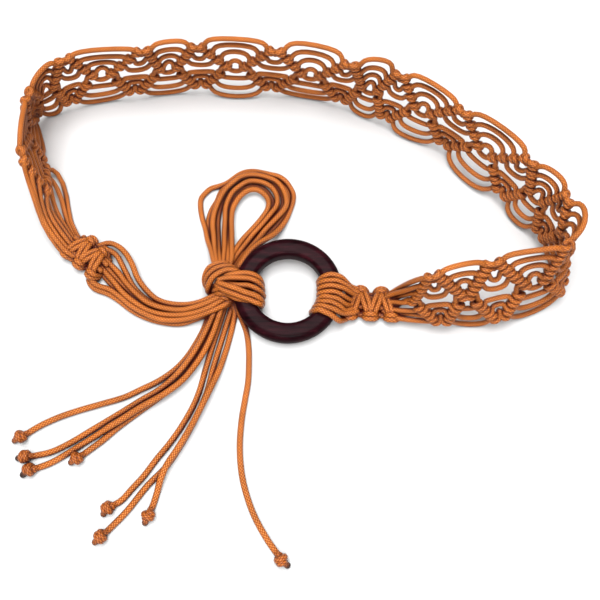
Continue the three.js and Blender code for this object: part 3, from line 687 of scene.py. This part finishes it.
# %% Cords of the net
# By unit: the upper arcs' rise in cord diameters, their lean outwards, how flat the top one
# is, how much lower the inner ones are, and how far the lower arcs sag into the loop
SCALLOPS = [0.7, 1.2, 0.9, 1.9, 2.6, 2.3, 2.5, 2.0, 2.1, 1.9, 1.9, 1.5, 1.1]
TOP_LEAN = [-1.6, 0, 0, 0, 0, 3, 0.5, 0, 1.2, -0.8, 4.5, 0, 0]
TOP_FLAT = [2.2, 2.2, 2.3, 2.8, 3.0, 2.8, 2.6, 2.7, 2.5, 2.3, 2.2, 2.5, 2.3]
INNER_DROP = [1.5, 0, 2.2, 2.6, 0.3, 1.4, 2.4, 0.4, 0.4, 2.5, 1, 1.2, 2.5]
LOW_SAG = [1.5, 2, -1.0, -0.4, 4.0, -1.0, 1.0, 3.0, 6, 2.6, 0, 2, 3.2]
UPPER_ARCS = ((19.8, 1.0), (16.6, 0.76), (12.8, 0.46))   # height, share of the rise
LOWER_ARCS = ((-24.4, 1.0), (-17.8, 0.55), (-9.2, 0.2))   # height, share of the sag
SEAM_V = {"U0": 15.5, "U1": 7.7, "U2": 1.7, "D2": -4.7, "D1": -9.0, "D0": -13.2}
LEADER_SEAM = {"A": 18.6, "B": -16.8}
SMALL_ARCS = {"A": -3.6, "B": 7.6}
CLOSED_UNITS = (13,)
NECK_V = {"U0": 18, "U1": 13, "U2": 8, "A": 3, "B": -3, "D2": -8, "D1": -13, "D0": -18}
FACE_OUTSIDE_FROM = 12
LEFT_APEX = 0.52
RIGHT_APEX = 0.34


LEFT_GATHER = {  # from the last knot to the neck
    "U0": [(-141, 3, 34), (-140.5, -1.5, 29), (-138, -7.5, 24), (-137, -13, 18.5),
           (-135, -19, 13), (-131.5, -24.5, 9), (-127.5, -29.5, 6), (-122.5, -35, 3.8),
           (-115.5, -40, 3)],
    "U1": [(-138.5, -1.5, 27), (-137.5, -8.5, 21.5), (-136, -14.5, 16.5), (-133.5, -20, 12.5),
           (-129, -25, 9.5), (-124, -31.5, 7), (-117.5, -37, 5.5)],
    "U2": [(-136, -4, 22), (-135.5, -10, 17.5), (-134, -15, 14), (-131, -19.5, 11),
           (-126.5, -25.5, 8.5), (-122, -30.5, 6.5), (-116.5, -35, 5.5)],
    "A": [(-134, -6.5, 17), (-133.5, -10.5, 14.5), (-131, -15.5, 11.5), (-127, -20.5, 9),
           (-122, -26.5, 7), (-117, -32.5, 5.5)],
    "B": [(-134.5, -4.5, 14), (-133, -9, 11.5), (-130, -13.5, 9), (-126, -18, 7),
           (-122, -23.5, 5.5), (-116.5, -30, 4.5)],
    "D2": [(-134, 3, 10.5), (-133, -2, 8), (-131, -7, 6), (-128, -12, 4.5), (-124, -17.5, 4),
           (-120, -24, 4.2), (-115, -29.5, 4.5)],
    "D1": [(-135.5, 13.5, 8), (-132.5, 9, 5.5), (-129.5, 2.5, 4), (-127.5, -5, 3),
           (-125, -13, 2.6), (-120.5, -21, 3), (-114.5, -28.5, 3.5)],
    "D0": [(-138, 24, 5), (-135, 21.5, 3), (-131, 15.5, 2), (-128, 6.5, 1.8), (-126, -3, 1.8),
           (-124, -11, 2), (-119.5, -19.5, 2.6), (-113.5, -27, 3.2)],
}


def face_of(unit):
    """The double bars show inside the loop on the far side, and outside on the near."""
    return 1 if unit >= FACE_OUTSIDE_FROM else -1


def flip(points, length):
    """The same points mirrored to the right half of a unit, in reverse order."""
    return [(length - u, v, w) for u, v, w in reversed(points)]


def left_half(cord, length, unit):
    """A cord from the diamond to the point where its middle arc starts."""
    face = face_of(unit)
    middle = CLOSED_MIDDLE if unit in CLOSED_UNITS else MIDDLE_KNOT
    places, axis = row_places(length, middle)
    upper = places, axis
    if cord[0] == "U":
        return hitch_at(places[int(cord[1])], axis, face)
    if cord[0] in "DB":
        places, axis = row_places(length, middle, FIRST_LOWER)
    if cord[0] == "D":
        mirrored = hitch_at(places[int(cord[1])], axis, face)
        return [(u, -v, w) for u, v, w in mirrored]
    points = [(*(places[0] - axis * 1.2 - (0, 0.5)), 0), (*places[0], 0)]
    steps = KNOTS_IN_ROW * 3 if cord == "A" else KNOTS_IN_ROW * 3 - 3
    for i in range(1, steps + 1):
        share = i / (KNOTS_IN_ROW * 3)
        points.append((*(places[0] + (places[-1] - places[0]) * share), 0))
    if cord == "A":
        points.append((*(places[-1] + axis * 2.0), 0))
        return points
    lower = [(u, -v, w) for u, v, w in points]
    return lower + hitch_at(upper[0][-1], upper[1], face)


def middle_arc(cord, start, end, unit):
    rise, lean, sag = SCALLOPS[unit - 1] * CORD, TOP_LEAN[unit - 1], LOW_SAG[unit - 1]
    if cord in SMALL_ARCS:
        high = -0.8 if unit in CLOSED_UNITS else SMALL_ARCS[cord]
        return arc(start, end, high, 2.0, 0, 7)
    row = int(cord[1])
    if cord[0] == "U":
        base, share = UPPER_ARCS[row]
        flat = max(TOP_FLAT[unit - 1] - 0.4 * row, 2)
        drop = INNER_DROP[unit - 1] if row else 0
        return arc(start, end, base + share * rise - drop, flat, lean * share)
    height, share = LOWER_ARCS[row]
    return arc(start, end, height, 2.2, -sag * share)


def net_cord(cord):
    """One of the eight cords, from neck to neck, as points in space."""
    seam = SEAM_V.get(cord, LEADER_SEAM.get(cord))
    line = []
    weave = 1.5 if list(NECK_V).index(cord) % 2 else -1.5
    for unit in range(LAST):
        length = LENGTHS[unit]
        start_half = left_half(cord, length, unit)
        end_half = flip(left_half(cord, length, unit), length)
        if unit == 0:
            reach = 2 * length * (1 - LEFT_APEX)
            end_half = [(u + length - reach, v, w) for u, v, w in
                        flip(left_half(cord, reach, unit), reach)]
            points = end_half
            line = [np.array(p, float) for p in reversed(LEFT_GATHER[cord])]
        elif unit == LAST - 1:
            start_half = left_half(cord, 2 * length * (1 - RIGHT_APEX), unit)
            end = (length - 1.0, NECK_V[cord], weave)
            back = fan(end, start_half[-1])
            points = start_half + back[::-1]
        else:
            middle = middle_arc(cord, start_half[-1], end_half[0], unit)
            points = start_half + middle + end_half
        line += [on_band(unit, *p) for p in points]
        if unit < LAST - 1:
            after = LENGTHS[unit + 1] if unit + 1 < LAST - 1 else 2 * LENGTHS[unit + 1] * (1 - RIGHT_APEX)
            entry = left_half(cord, after, unit + 1)[0]
            leave = (points[-1][0] - length, *points[-1][1:])
            line += [on_band(unit + 1, *p) for p in arc(leave, entry, seam, 2.4, 0, 8)]
    return line


def fan(neck, knot):
    """Points from the neck to a knot of the gather; the strand swells a little outwards."""
    points = []
    for t in (0, 0.2, 0.4, 0.6, 0.8):
        u = neck[0] + (knot[0] - neck[0]) * t
        v = neck[1] + (knot[1] - neck[1]) * (1 - (1 - t) ** 1.5)
        points.append((u, v, neck[2] * (1 - t) + knot[2] * t))
    return points


def relax(line, rounds=1):
    """Rounds the corners where an arc meets a knot."""
    line = np.array(line, float)
    for _ in range(rounds):
        line[1:-1] = (line[:-2] + 2 * line[1:-1] + line[2:]) / 4
    return line


# %% [markdown]
# At each end the eight cords run on into a short neck of square knots. Inside it they
# are the straight core that the knots are tied round.

# %% Net
left_end = band(0, 0, 0)
left_end.z = NECK_Z
edge_way = band(0, -HALF, 0) - band(0, HALF, 0)
edge_way.z = 0
edge_way.normalize()
left_way = Vector((edge_way.y, -edge_way.x, 0))
left_far = left_end + left_way * 20.2
right_end = band(LAST, 0, 0)
right_end.z = NECK_Z
right_near = RING_CENTRE + Vector((RING_OUTER / 2 + 4.2, -5.6, 0))
right_near.z = NECK_Z
right_way = (right_near - right_end).normalized()
net_lines = []
for cord in NECK_V:
    line = net_cord(cord)
    line = [np.array(left_end) * 0.5 + line[0] * 0.5 + np.array(left_way) * 5, *line,
            np.array(right_end) * 0.5 + line[-1] * 0.5 + np.array(right_way) * 5]
    net_lines.append(relax(line))
net = strands_object("net", net_lines, PULLED)
net.data.materials.append(waxed_cord)
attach(net, "root")
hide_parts("net_gather_left", "net_gather_right",
            *[f"net_motif_{i:02d}" for i in range(1, LAST - 1)])
print("net triangles", sum(len(p.vertices) - 2 for p in net.data.polygons))

# %% [markdown]
# The necks are flat square knots: two doubled cords cross over four straight ones, back
# and forth, and loop at the edges. A knot shows a slanting double bar on the front, and
# the next one slants the other way. They are drawn as a zigzag above and one below.

# %% Necks
CORE_SIDE = 2.3                   # the four straight cords lie two and two
BAR_REACH = 6.0                   # the crossing bars end here, from the middle
EDGE_LOOPS = ((6.9, 3.0), (9.0, 1.4))   # reach and height of the doubled loop at the edge


def neck_strands(start, end, bars, first_side):
    start, end = np.array(start), np.array(end)
    way = end - start
    length = np.linalg.norm(way)
    way /= length
    side = np.array((-way[1], way[0], 0)) * first_side
    pitch = length / bars
    lines = []
    for s in (-CORE_SIDE, CORE_SIDE):
        for z in (-1.2, 1.4):
            lines.append([start - way * 3 + side * s + (0, 0, z), start + (end - start) / 2 + side * s + (0, 0, z),
                          end + way * 3 + side * s + (0, 0, z)])
    for front in (1, -1):
        for twin in (-1, 1):
            points = []
            for i in range(bars * 8 + 1):
                s = i / 8
                across = -math.cos(math.pi * s) * front
                a = pitch * s + twin * 1.4 * (1.1 - abs(across) * 0.4)
                high = front * (0.4 + 3.0 * max(1 - across * across, 0) ** 0.4)
                points.append(start + way * a + side * (BAR_REACH + twin * 0.3) * across + (0, 0, high))
            lines.append(points)
    for bar in range(bars + 1):
        edge = -side if bar % 2 == 0 else side
        for reach, high in EDGE_LOOPS:
            points = []
            for t in (-1, -0.75, -0.4, 0, 0.4, 0.75, 1):
                a = pitch * (bar + 0.72 * t)
                points.append(start + way * a + edge * (reach - 3.6 * t ** 4)
                              + (0, 0, high * (1 - t * t) - 1.6 * t * t))
            lines.append(points)
    for points in lines:
        for p in points:
            p[2] = max(p[2], DRAWN_R + 0.05)
    return [smooth(points, 1.5) for points in lines]


right_neck = strands_object("right_neck_knots", neck_strands(right_near, right_end, 4, 1))
left_neck = strands_object("left_neck_knots", neck_strands(left_far, left_end, 4, -1))
for piece, solid in ((right_neck, "right_neck"), (left_neck, "left_neck")):
    piece.data.materials.append(waxed_cord)
    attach(piece, "root")
    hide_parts(solid)

# %% [markdown]
# Four doubled cords are folded on to the ring's right side. Each fold makes two wraps:
# up over the wood, down through the hole, and back below to the other strand of the
# fold. The strands leave the ring side by side and are drawn together at the neck.

# %% Folded cords on the ring
FOLDS = [  # from the ring's hole over the wood to the neck, far side first
    [(20, -52.5, 11.5), (22.5, -52, 14.6), (25.5, -51.5, 15.4), (29, -52, 15),
     (31.5, -52.5, 13.5), (34, -54, 11), (36.5, -55.5, 8.5), (40, -56.5, 7.5)],
    [(19.5, -55, 11.5), (22, -55, 14.6), (25.5, -55, 15.4), (29, -55, 15), (32, -56, 13.5),
     (35, -57, 11), (37.5, -58, 8.8), (40.5, -58.5, 7.5)],
    [(19.5, -58, 11.5), (22.5, -58, 14.6), (25.5, -58, 15.4), (29, -58.5, 15), (32.5, -59, 13.5),
     (35, -59.5, 11), (37.5, -60, 8.5), (40.5, -60.5, 6.5)],
    [(19.5, -61, 11.5), (22.5, -61.5, 14.6), (25.5, -61.5, 15.4), (28.5, -62, 15),
     (31.5, -63, 13.5), (34, -63.5, 10.8), (36.5, -63.5, 8), (40, -62.5, 6)],
    [(19.5, -64, 11.5), (22, -64, 14.6), (25.5, -65, 15.4), (28.5, -65.5, 15), (31, -66.5, 13.3),
     (33.5, -67, 10.5), (36, -66, 7.5), (40, -64.5, 5.5)],
    [(19, -66, 11.5), (21.5, -67, 14.6), (25, -67.5, 15.4), (27.5, -68.5, 15), (30.5, -69.5, 13),
     (32.5, -70, 10), (36, -68.5, 7.5), (40, -66.5, 5.5)],
    [(17.5, -68.5, 11.5), (20.5, -69.5, 14.6), (23.5, -70.5, 15.3), (27, -71.5, 14.8),
     (29.5, -72, 12.6), (32, -71.5, 9.5), (36, -70.5, 7.5), (40, -68.5, 5.5)],
    [(16.5, -71, 11.5), (19, -71.5, 14.6), (22, -73, 15), (25, -74, 14), (27.5, -75, 11.5),
     (30, -75.5, 8.5), (32.5, -73.5, 5), (36, -71, 3), (40, -68.5, 3)],
]
SLEEVE = (24.2, 6.9, 6.8)         # layer of cord on the wood: middle radius, half width, half height


def on_ring(radius, degrees, height):
    angle = math.radians(degrees)
    flat = Vector((math.cos(angle) * radius, math.sin(angle) * radius, height))
    return np.array(Matrix.Rotation(math.radians(RING_TILT), 3, "X") @ flat + RING_CENTRE)


def sleeve_point(degrees, section_degrees):
    """A point of the layer of cord round the ring's wall; 0 is outwards, 90 is up."""
    c, s = (math.cos(math.radians(section_degrees)), math.sin(math.radians(section_degrees)))
    middle, wide, high = SLEEVE
    place = on_ring(middle + wide * math.copysign(abs(c) ** 0.8, c), degrees,
                    high * math.copysign(abs(s) ** 0.8, s))
    place[2] = max(place[2], DRAWN_R + 0.05)
    return place


def folded_cord(first, second):
    """Over the wood, down the hole, back under it, and the same again beside it."""
    halves, angles = [], []
    for route in (first, second):
        inner = np.array(route[0])
        angles.append(math.degrees(math.atan2(inner[1] - RING_CENTRE.y, inner[0] - RING_CENTRE.x)))
        under = [sleeve_point(angles[-1], s) for s in (195, 225, 255, 285)]
        halves.append([np.array(p) for p in route[::-1]] + under)
    turn = sleeve_point(sum(angles) / 2, 296)
    return smooth(halves[0] + [turn] + halves[1][::-1], 1.5)


head_lines = [folded_cord(FOLDS[i], FOLDS[i + 1]) for i in range(0, len(FOLDS), 2)]
heads = strands_object("folded_cords", head_lines)
heads.data.materials.append(waxed_cord)
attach(heads, "root")
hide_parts("larks_heads")

# %% [markdown]
# The gathered cords, the tie and the bow are single strands that were followed one by
# one: each is a short list of places in millimetres on the table, with its height.

# %% Gathered cords
BUNDLE = [
    [(-104.5, -28.5, 5), (-99, -27, 5.5), (-93, -29.5, 6), (-88.5, -34, 6), (-84.5, -40.5, 5.5),
     (-81.5, -47.5, 4.5), (-76.5, -54.5, 4), (-69.5, -61, 4), (-61, -64, 4.5), (-52, -65, 6),
     (-45.5, -64.5, 8), (-40, -62.5, 9.2), (-34, -59, 9.5), (-30, -56, 9)],
    [(-103.5, -30, 4.5), (-98, -31.5, 5), (-93.5, -35, 5), (-90.5, -40, 4.5), (-87.5, -45.5, 4),
     (-83.5, -52.5, 3.5), (-77.5, -59, 3), (-70, -64, 3), (-61.5, -66.5, 4), (-52.5, -67, 5),
     (-46, -65, 6), (-40, -62.5, 6.5), (-34, -58.5, 6.5), (-29.5, -55.5, 6)],
    [(-101.5, -36, 4.5), (-97.5, -39.5, 4.5), (-92, -45, 4.5), (-87, -51.5, 4.5), (-81, -58, 5),
     (-73.5, -64, 5.5), (-65, -67, 5.5), (-56, -68.5, 6.5), (-47.5, -67.5, 8.3), (-40, -65, 9.6),
     (-34, -61.5, 10), (-29, -59, 9.5)],
    [(-102.5, -38, 4), (-97.5, -43, 3.5), (-92, -49, 3), (-86.5, -54.5, 3), (-81, -60, 2.5),
     (-73.5, -64.5, 2), (-65, -67.5, 2), (-55.5, -69, 3.5), (-46.5, -67.5, 5.5),
     (-40, -65.5, 6.5), (-34, -62, 7), (-29, -58.5, 6.5)],
    [(-103.5, -40, 4.5), (-99, -45, 4), (-94, -50.5, 4), (-88.5, -57, 4.5), (-81.5, -63, 5),
     (-73.5, -68, 5), (-64.5, -70.5, 5), (-55, -71, 6), (-46.5, -70, 7.6), (-39.5, -67.5, 8.8),
     (-34, -64, 9), (-28.5, -60.5, 8.5)],
    [(-105, -40.5, 3), (-100.5, -46, 2), (-95.5, -51.5, 1.7), (-90, -57.5, 1.7),
     (-83.5, -63, 1.7), (-75.5, -68, 1.7), (-66, -71, 1.7), (-55, -71.5, 3), (-46.5, -70.5, 4.5),
     (-39.5, -68, 5.5), (-33.5, -64.5, 6), (-28, -61.5, 6)],
    [(-106.5, -44.5, 4), (-107, -48.5, 3.5), (-103.5, -52, 3), (-96.5, -54.5, 3), (-90, -59, 3.5),
     (-83.5, -64.5, 4), (-75.5, -69.5, 4.5), (-66.5, -73, 4.5), (-56, -73.5, 5),
     (-46.5, -72, 6.5), (-39, -69.5, 7.7), (-33, -66.5, 8), (-28, -62.5, 7.5)],
    [(-108, -44.5, 3), (-108.5, -49, 2), (-105, -53.5, 1.7), (-97.5, -56.5, 1.7),
     (-91, -60.5, 1.7), (-84, -66, 1.7), (-76, -70.5, 1.7), (-66.5, -73.5, 1.7), (-56, -74.5, 2),
     (-47, -72, 3), (-39, -69, 4), (-33, -66, 4.7), (-27.5, -62.5, 5)],
]
UNDER_TIE = np.array((-31.0, -60.0, 4.5))
roots = []
for route in TAIL_ROUTES:
    first = np.array(route[0]) + np.array(BELT_SHIFT)
    second = np.array(route[1]) + np.array(BELT_SHIFT)
    deep = UNDER_TIE + ((first[0] - UNDER_TIE[0]) * 0.4, 0, 0)
    middle = first + (first - second) * 0.5 + (0, 0, 0.6)
    roots.append([first, middle, (middle + deep) / 2, deep])
bundle = strands_object("gathered_cords", [smooth(s, 2.2) for s in BUNDLE + roots])
bundle.data.materials.append(waxed_cord)
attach(bundle, "root")
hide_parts("strand_bundle")

# %% [markdown]
# The bow is one loop of the whole bundle, pulled half through the tie, so its strands
# lie in two layers side by side and open out round a small hole at the far end.

# %% Bow
BOW = [
    [(-36, -47, 9), (-39, -39, 8), (-41, -31.5, 6), (-43.5, -24, 4), (-45, -17, 3),
     (-47.5, -9, 1.7), (-49, -1.5, 1.7), (-49, 4.5, 1.7), (-46.5, 8.5, 1.7), (-43.5, 11.5, 1.7),
     (-39, 13, 1.7), (-34.5, 15, 1.7), (-31.5, 17.5, 1.7), (-27.5, 21, 1.7), (-23.5, 23, 1.7),
     (-18.5, 23.5, 1.7), (-13.5, 22, 2.5), (-9, 19.5, 4.5), (-4, 18, 4.7), (0, 15.5, 4),
     (3, 12, 2), (5, 7, 1.7), (4.5, 1.5, 1.7), (3, -3.5, 1.8), (1, -9.5, 2.5), (-2.5, -16.5, 4),
     (-6.5, -22, 6), (-11.5, -27, 8.5), (-15.5, -31.5, 10.5), (-19, -36, 11.5), (-22, -41, 12),
     (-25, -46, 12)],
    [(-36.5, -47, 9), (-39.5, -37, 7), (-42, -27, 3), (-43.5, -18.5, 1.7), (-44, -11, 1.7),
     (-42.5, -3.5, 1.7), (-39.5, 3, 1.7), (-37.5, 9, 1.7), (-33.5, 13.5, 1.7), (-28.5, 18.5, 1.7),
     (-22, 22, 1.7), (-15.5, 22, 1.7), (-9, 19.5, 1.7), (-3, 15.5, 1.7), (0.5, 10.5, 1.7),
     (2, 4.5, 1.7), (1, -2.5, 1.7), (-2, -9.5, 1.7), (-6.5, -16, 1.7), (-11.5, -21.5, 2),
     (-17, -28.5, 4), (-21, -36, 7), (-24, -42.5, 9)],
    [(-35, -47, 9), (-37.5, -39, 8), (-39, -31.5, 6), (-40, -22.5, 4.7), (-41, -14, 4.7),
     (-40.5, -7, 4.7), (-39, -1.5, 4.7), (-37, 4, 4.8), (-34.5, 9, 4.8), (-30.5, 13.5, 4.8),
     (-26, 17.5, 4.8), (-20.5, 19, 4.8), (-15.5, 18.5, 5), (-10, 17, 5), (-5, 14.5, 4.8),
     (-1.5, 10, 4.7), (0.5, 4.5, 4.7), (1, -1.5, 4.8), (-2, -7, 4.8), (-6, -12, 4.7),
     (-11, -18, 4.6), (-15, -24.5, 5), (-19, -31, 6.5), (-22.5, -38, 8), (-26, -44.5, 9)],
    [(-34, -47, 9), (-35.5, -39, 8), (-37, -29, 4), (-38, -19, 1.8), (-38.5, -10, 1.8),
     (-37.5, -1.5, 1.8), (-36, 5.5, 1.8), (-33, 10.5, 1.8), (-29, 15, 1.8), (-24.5, 18.5, 1.8),
     (-19, 20, 1.8), (-13, 19, 1.8), (-7.5, 15.5, 1.8), (-3, 10.5, 1.8), (-1, 4.5, 1.8),
     (-1.5, -1.5, 1.8), (-5.5, -7.5, 1.8), (-10, -14, 1.8), (-15.5, -21, 1.8), (-20.5, -28, 2.5),
     (-24, -36, 5), (-27.5, -44, 8)],
    [(-33, -47, 9), (-33.5, -39, 8), (-33.5, -30.5, 6), (-34, -20.5, 4.8), (-34, -11.5, 4.8),
     (-34, -3.5, 4.8), (-32.5, 2.5, 4.8), (-30, 7.5, 4.9), (-26, 11.5, 4.9), (-21.5, 14.5, 4.9),
     (-16.5, 14.5, 5), (-11.5, 13, 5), (-7, 9.5, 4.9), (-4.5, 4, 4.8), (-4.5, -2, 4.8),
     (-8, -7.5, 4.8), (-12.5, -14, 4.7), (-17.5, -20.5, 4.7), (-22, -27.5, 4.8), (-26, -34, 5.5),
     (-29, -41.5, 8)],
    [(-31, -47, 9), (-31, -38, 8), (-31.5, -28, 4.5), (-32, -18, 2.2), (-33, -8.5, 1.8),
     (-32, -1, 1.8), (-30.5, 4.5, 1.8), (-27.5, 9, 1.8), (-23.5, 12, 1.8), (-18.5, 13, 1.8),
     (-13, 11.5, 1.8), (-9.5, 7.5, 1.8), (-7, 2, 1.8), (-8, -4, 1.8), (-12, -10, 1.8),
     (-17, -17, 1.8), (-22.5, -24.5, 2.2), (-27, -32.5, 4.5), (-29.5, -41.5, 8)],
    [(-30, -47, 9), (-29, -38.5, 8.5), (-29.5, -29, 6), (-30, -19.5, 4.8), (-30.5, -11, 4.7),
     (-30, -4, 4.7), (-28, 1, 4.7), (-25, 5.5, 4.7), (-21, 8.5, 4.7), (-16.5, 9, 4.7),
     (-12.5, 6.5, 4.7), (-9.5, 2, 4.6), (-9.5, -3.5, 4.6), (-12.5, -9.5, 4.6),
     (-17.5, -16.5, 4.6), (-23, -23.5, 4.7), (-27, -30.5, 5.5), (-29.5, -38, 7.5),
     (-31, -45.5, 9)],
]
bow = strands_object("bow", [smooth(s, 2.2) for s in BOW])
bow.data.materials.append(waxed_cord)
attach(bow, "root")
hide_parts("bow_loop")

# %% [markdown]
# The tie is the crossing of all the cords: bands of two or three strands wind round the
# bundle and the bow's foot, and run over the ring's left side into its hole. A wound
# core under them fills the knot, as the crossing cords do on the real one.

# %% Tie
TIE = [
    [(-28.5, -45.5, 11), (-30.5, -45, 14), (-34, -44.5, 15.5), (-37.5, -45.5, 15),
     (-40.5, -46.5, 13.5), (-42.5, -48.5, 11), (-43.5, -50.5, 8), (-43, -53, 5), (-41, -54.5, 3)],
    [(-25.5, -47.5, 13), (-29, -47, 16), (-32.5, -47.5, 17), (-36.5, -48.5, 16.5),
     (-39.5, -50, 14.5), (-41.5, -51.5, 11.5), (-42, -53, 8), (-41, -54.5, 5)],
    [(-23.5, -50.5, 15), (-26.5, -50, 17.5), (-30.5, -50, 18), (-34, -51.5, 18), (-37, -53, 16.8),
     (-39.5, -55, 14), (-41, -57, 10.5), (-41, -58, 7), (-39.5, -58, 4)],
    [(-31, -53, 17), (-27.5, -52.5, 17.8), (-24, -52, 17.8), (-19.5, -51.5, 17), (-16, -52, 16),
     (-13, -53, 13.5), (-12, -53.5, 9), (-12, -52.5, 3)],
    [(-34.5, -55, 16.5), (-30.5, -54.5, 17.6), (-27, -54.5, 17.9), (-22.5, -54.5, 17.5),
     (-18.5, -54.5, 16.8), (-14.5, -55.5, 15.3), (-12.5, -56.5, 12.5), (-11.5, -57, 8),
     (-12, -56.5, 3)],
    [(-31, -56.5, 15), (-26.5, -58, 16.3), (-22.5, -58.5, 16.8), (-19, -58.5, 16.6),
     (-15.5, -59.5, 15.6), (-12.5, -60.5, 13), (-11, -61, 8.5), (-12, -60.5, 3)],
    [(-35, -56, 15.5), (-31.5, -58, 16.8), (-28, -59.5, 17.3), (-24, -61, 17.4),
     (-20.5, -62.5, 17), (-16.5, -63.5, 16.2), (-13.5, -64.5, 14.8), (-11.5, -65.5, 11.5),
     (-11.5, -65, 6)],
    [(-36, -56.5, 13.5), (-33, -59.5, 14.8), (-29.5, -61.5, 15.4), (-25.5, -63, 15.5),
     (-22, -64.5, 15.3), (-18.5, -65.5, 14.9), (-15, -67, 14), (-12.5, -67.5, 12.5),
     (-12, -67, 8)],
    [(-36.5, -57, 10.5), (-33, -60, 11.5), (-29, -62, 12.4), (-25.5, -64, 12.8),
     (-21.5, -65, 12.6), (-18.5, -65.5, 12)],
]
TIE_CENTRE = (-31.5, -57, 8.4)
TIE_CORE = (6.4, 6.0, 5.8)


def wound_core(turns, tilt):
    """A cord wound as on a ball, its turns leaning by tilt."""
    points = []
    for i in range(turns * 10 + 1):
        t = i / (turns * 10)
        angle = 2 * math.pi * turns * t
        lean = math.radians(tilt) * (2 * t - 1)
        flat = Vector((math.cos(angle) * math.cos(lean), math.sin(lean), math.sin(angle) * math.cos(lean)))
        points.append([c + r * x for c, r, x in zip(TIE_CENTRE, TIE_CORE, flat)])
    return smooth(points, 2.0)


tie_lines = [smooth(s, 1.5) for s in TIE] + [wound_core(6, 75)]
tie = strands_object("tie", tie_lines)
tie.data.materials.append(waxed_cord)
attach(tie, "root")
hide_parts("tie_knot")

# %% [markdown]
# The photograph was taken on a white sweep under wide soft light: the background burns
# out to white, and the shadows are faint. The floor is matt white, and large area lights
# over and in front of the belt with a white sky do the same.

# %% Stage and light
bpy.ops.object.select_all(action="DESELECT")
bpy.ops.mesh.primitive_grid_add(x_subdivisions=2, y_subdivisions=2, size=4, location=(0, 0, -0.00005))
floor = bpy.context.object
floor.name = "floor"
paper, tree, shader = new_material("matt_white_paper")
shader.inputs["Base Color"].default_value = linear("#C8C8C8")
shader.inputs["Roughness"].default_value = 0.9
floor.data.materials.append(paper)

world = bpy.data.worlds.new("white_studio")
bpy.context.scene.world = world
world.use_nodes = True
world.node_tree.nodes["Background"].inputs[0].default_value = (1, 1, 1, 1)
world.node_tree.nodes["Background"].inputs[1].default_value = 0.16


def area_light(name, place, target, size, power):
    data = bpy.data.lights.new(name, "AREA")
    data.shape = "RECTANGLE"
    data.size, data.size_y = size
    data.energy = power
    light = bpy.data.objects.new(name, data)
    light.location = place
    light.rotation_euler = (Vector(target) - Vector(place)).to_track_quat("-Z", "Y").to_euler()
    bpy.context.scene.collection.objects.link(light)
    return light


area_light("soft_box_top", (-0.05, 0.0, 1.3), (0, 0, 0), (1.1, 1.0), 33)
area_light("soft_box_near", (0.0, -0.9, 0.9), (0, -0.05, 0), (0.6, 0.4), 9)
bpy.context.scene.view_settings.view_transform = "Standard"
bpy.context.scene.view_settings.look = "None"
print("lights 2")
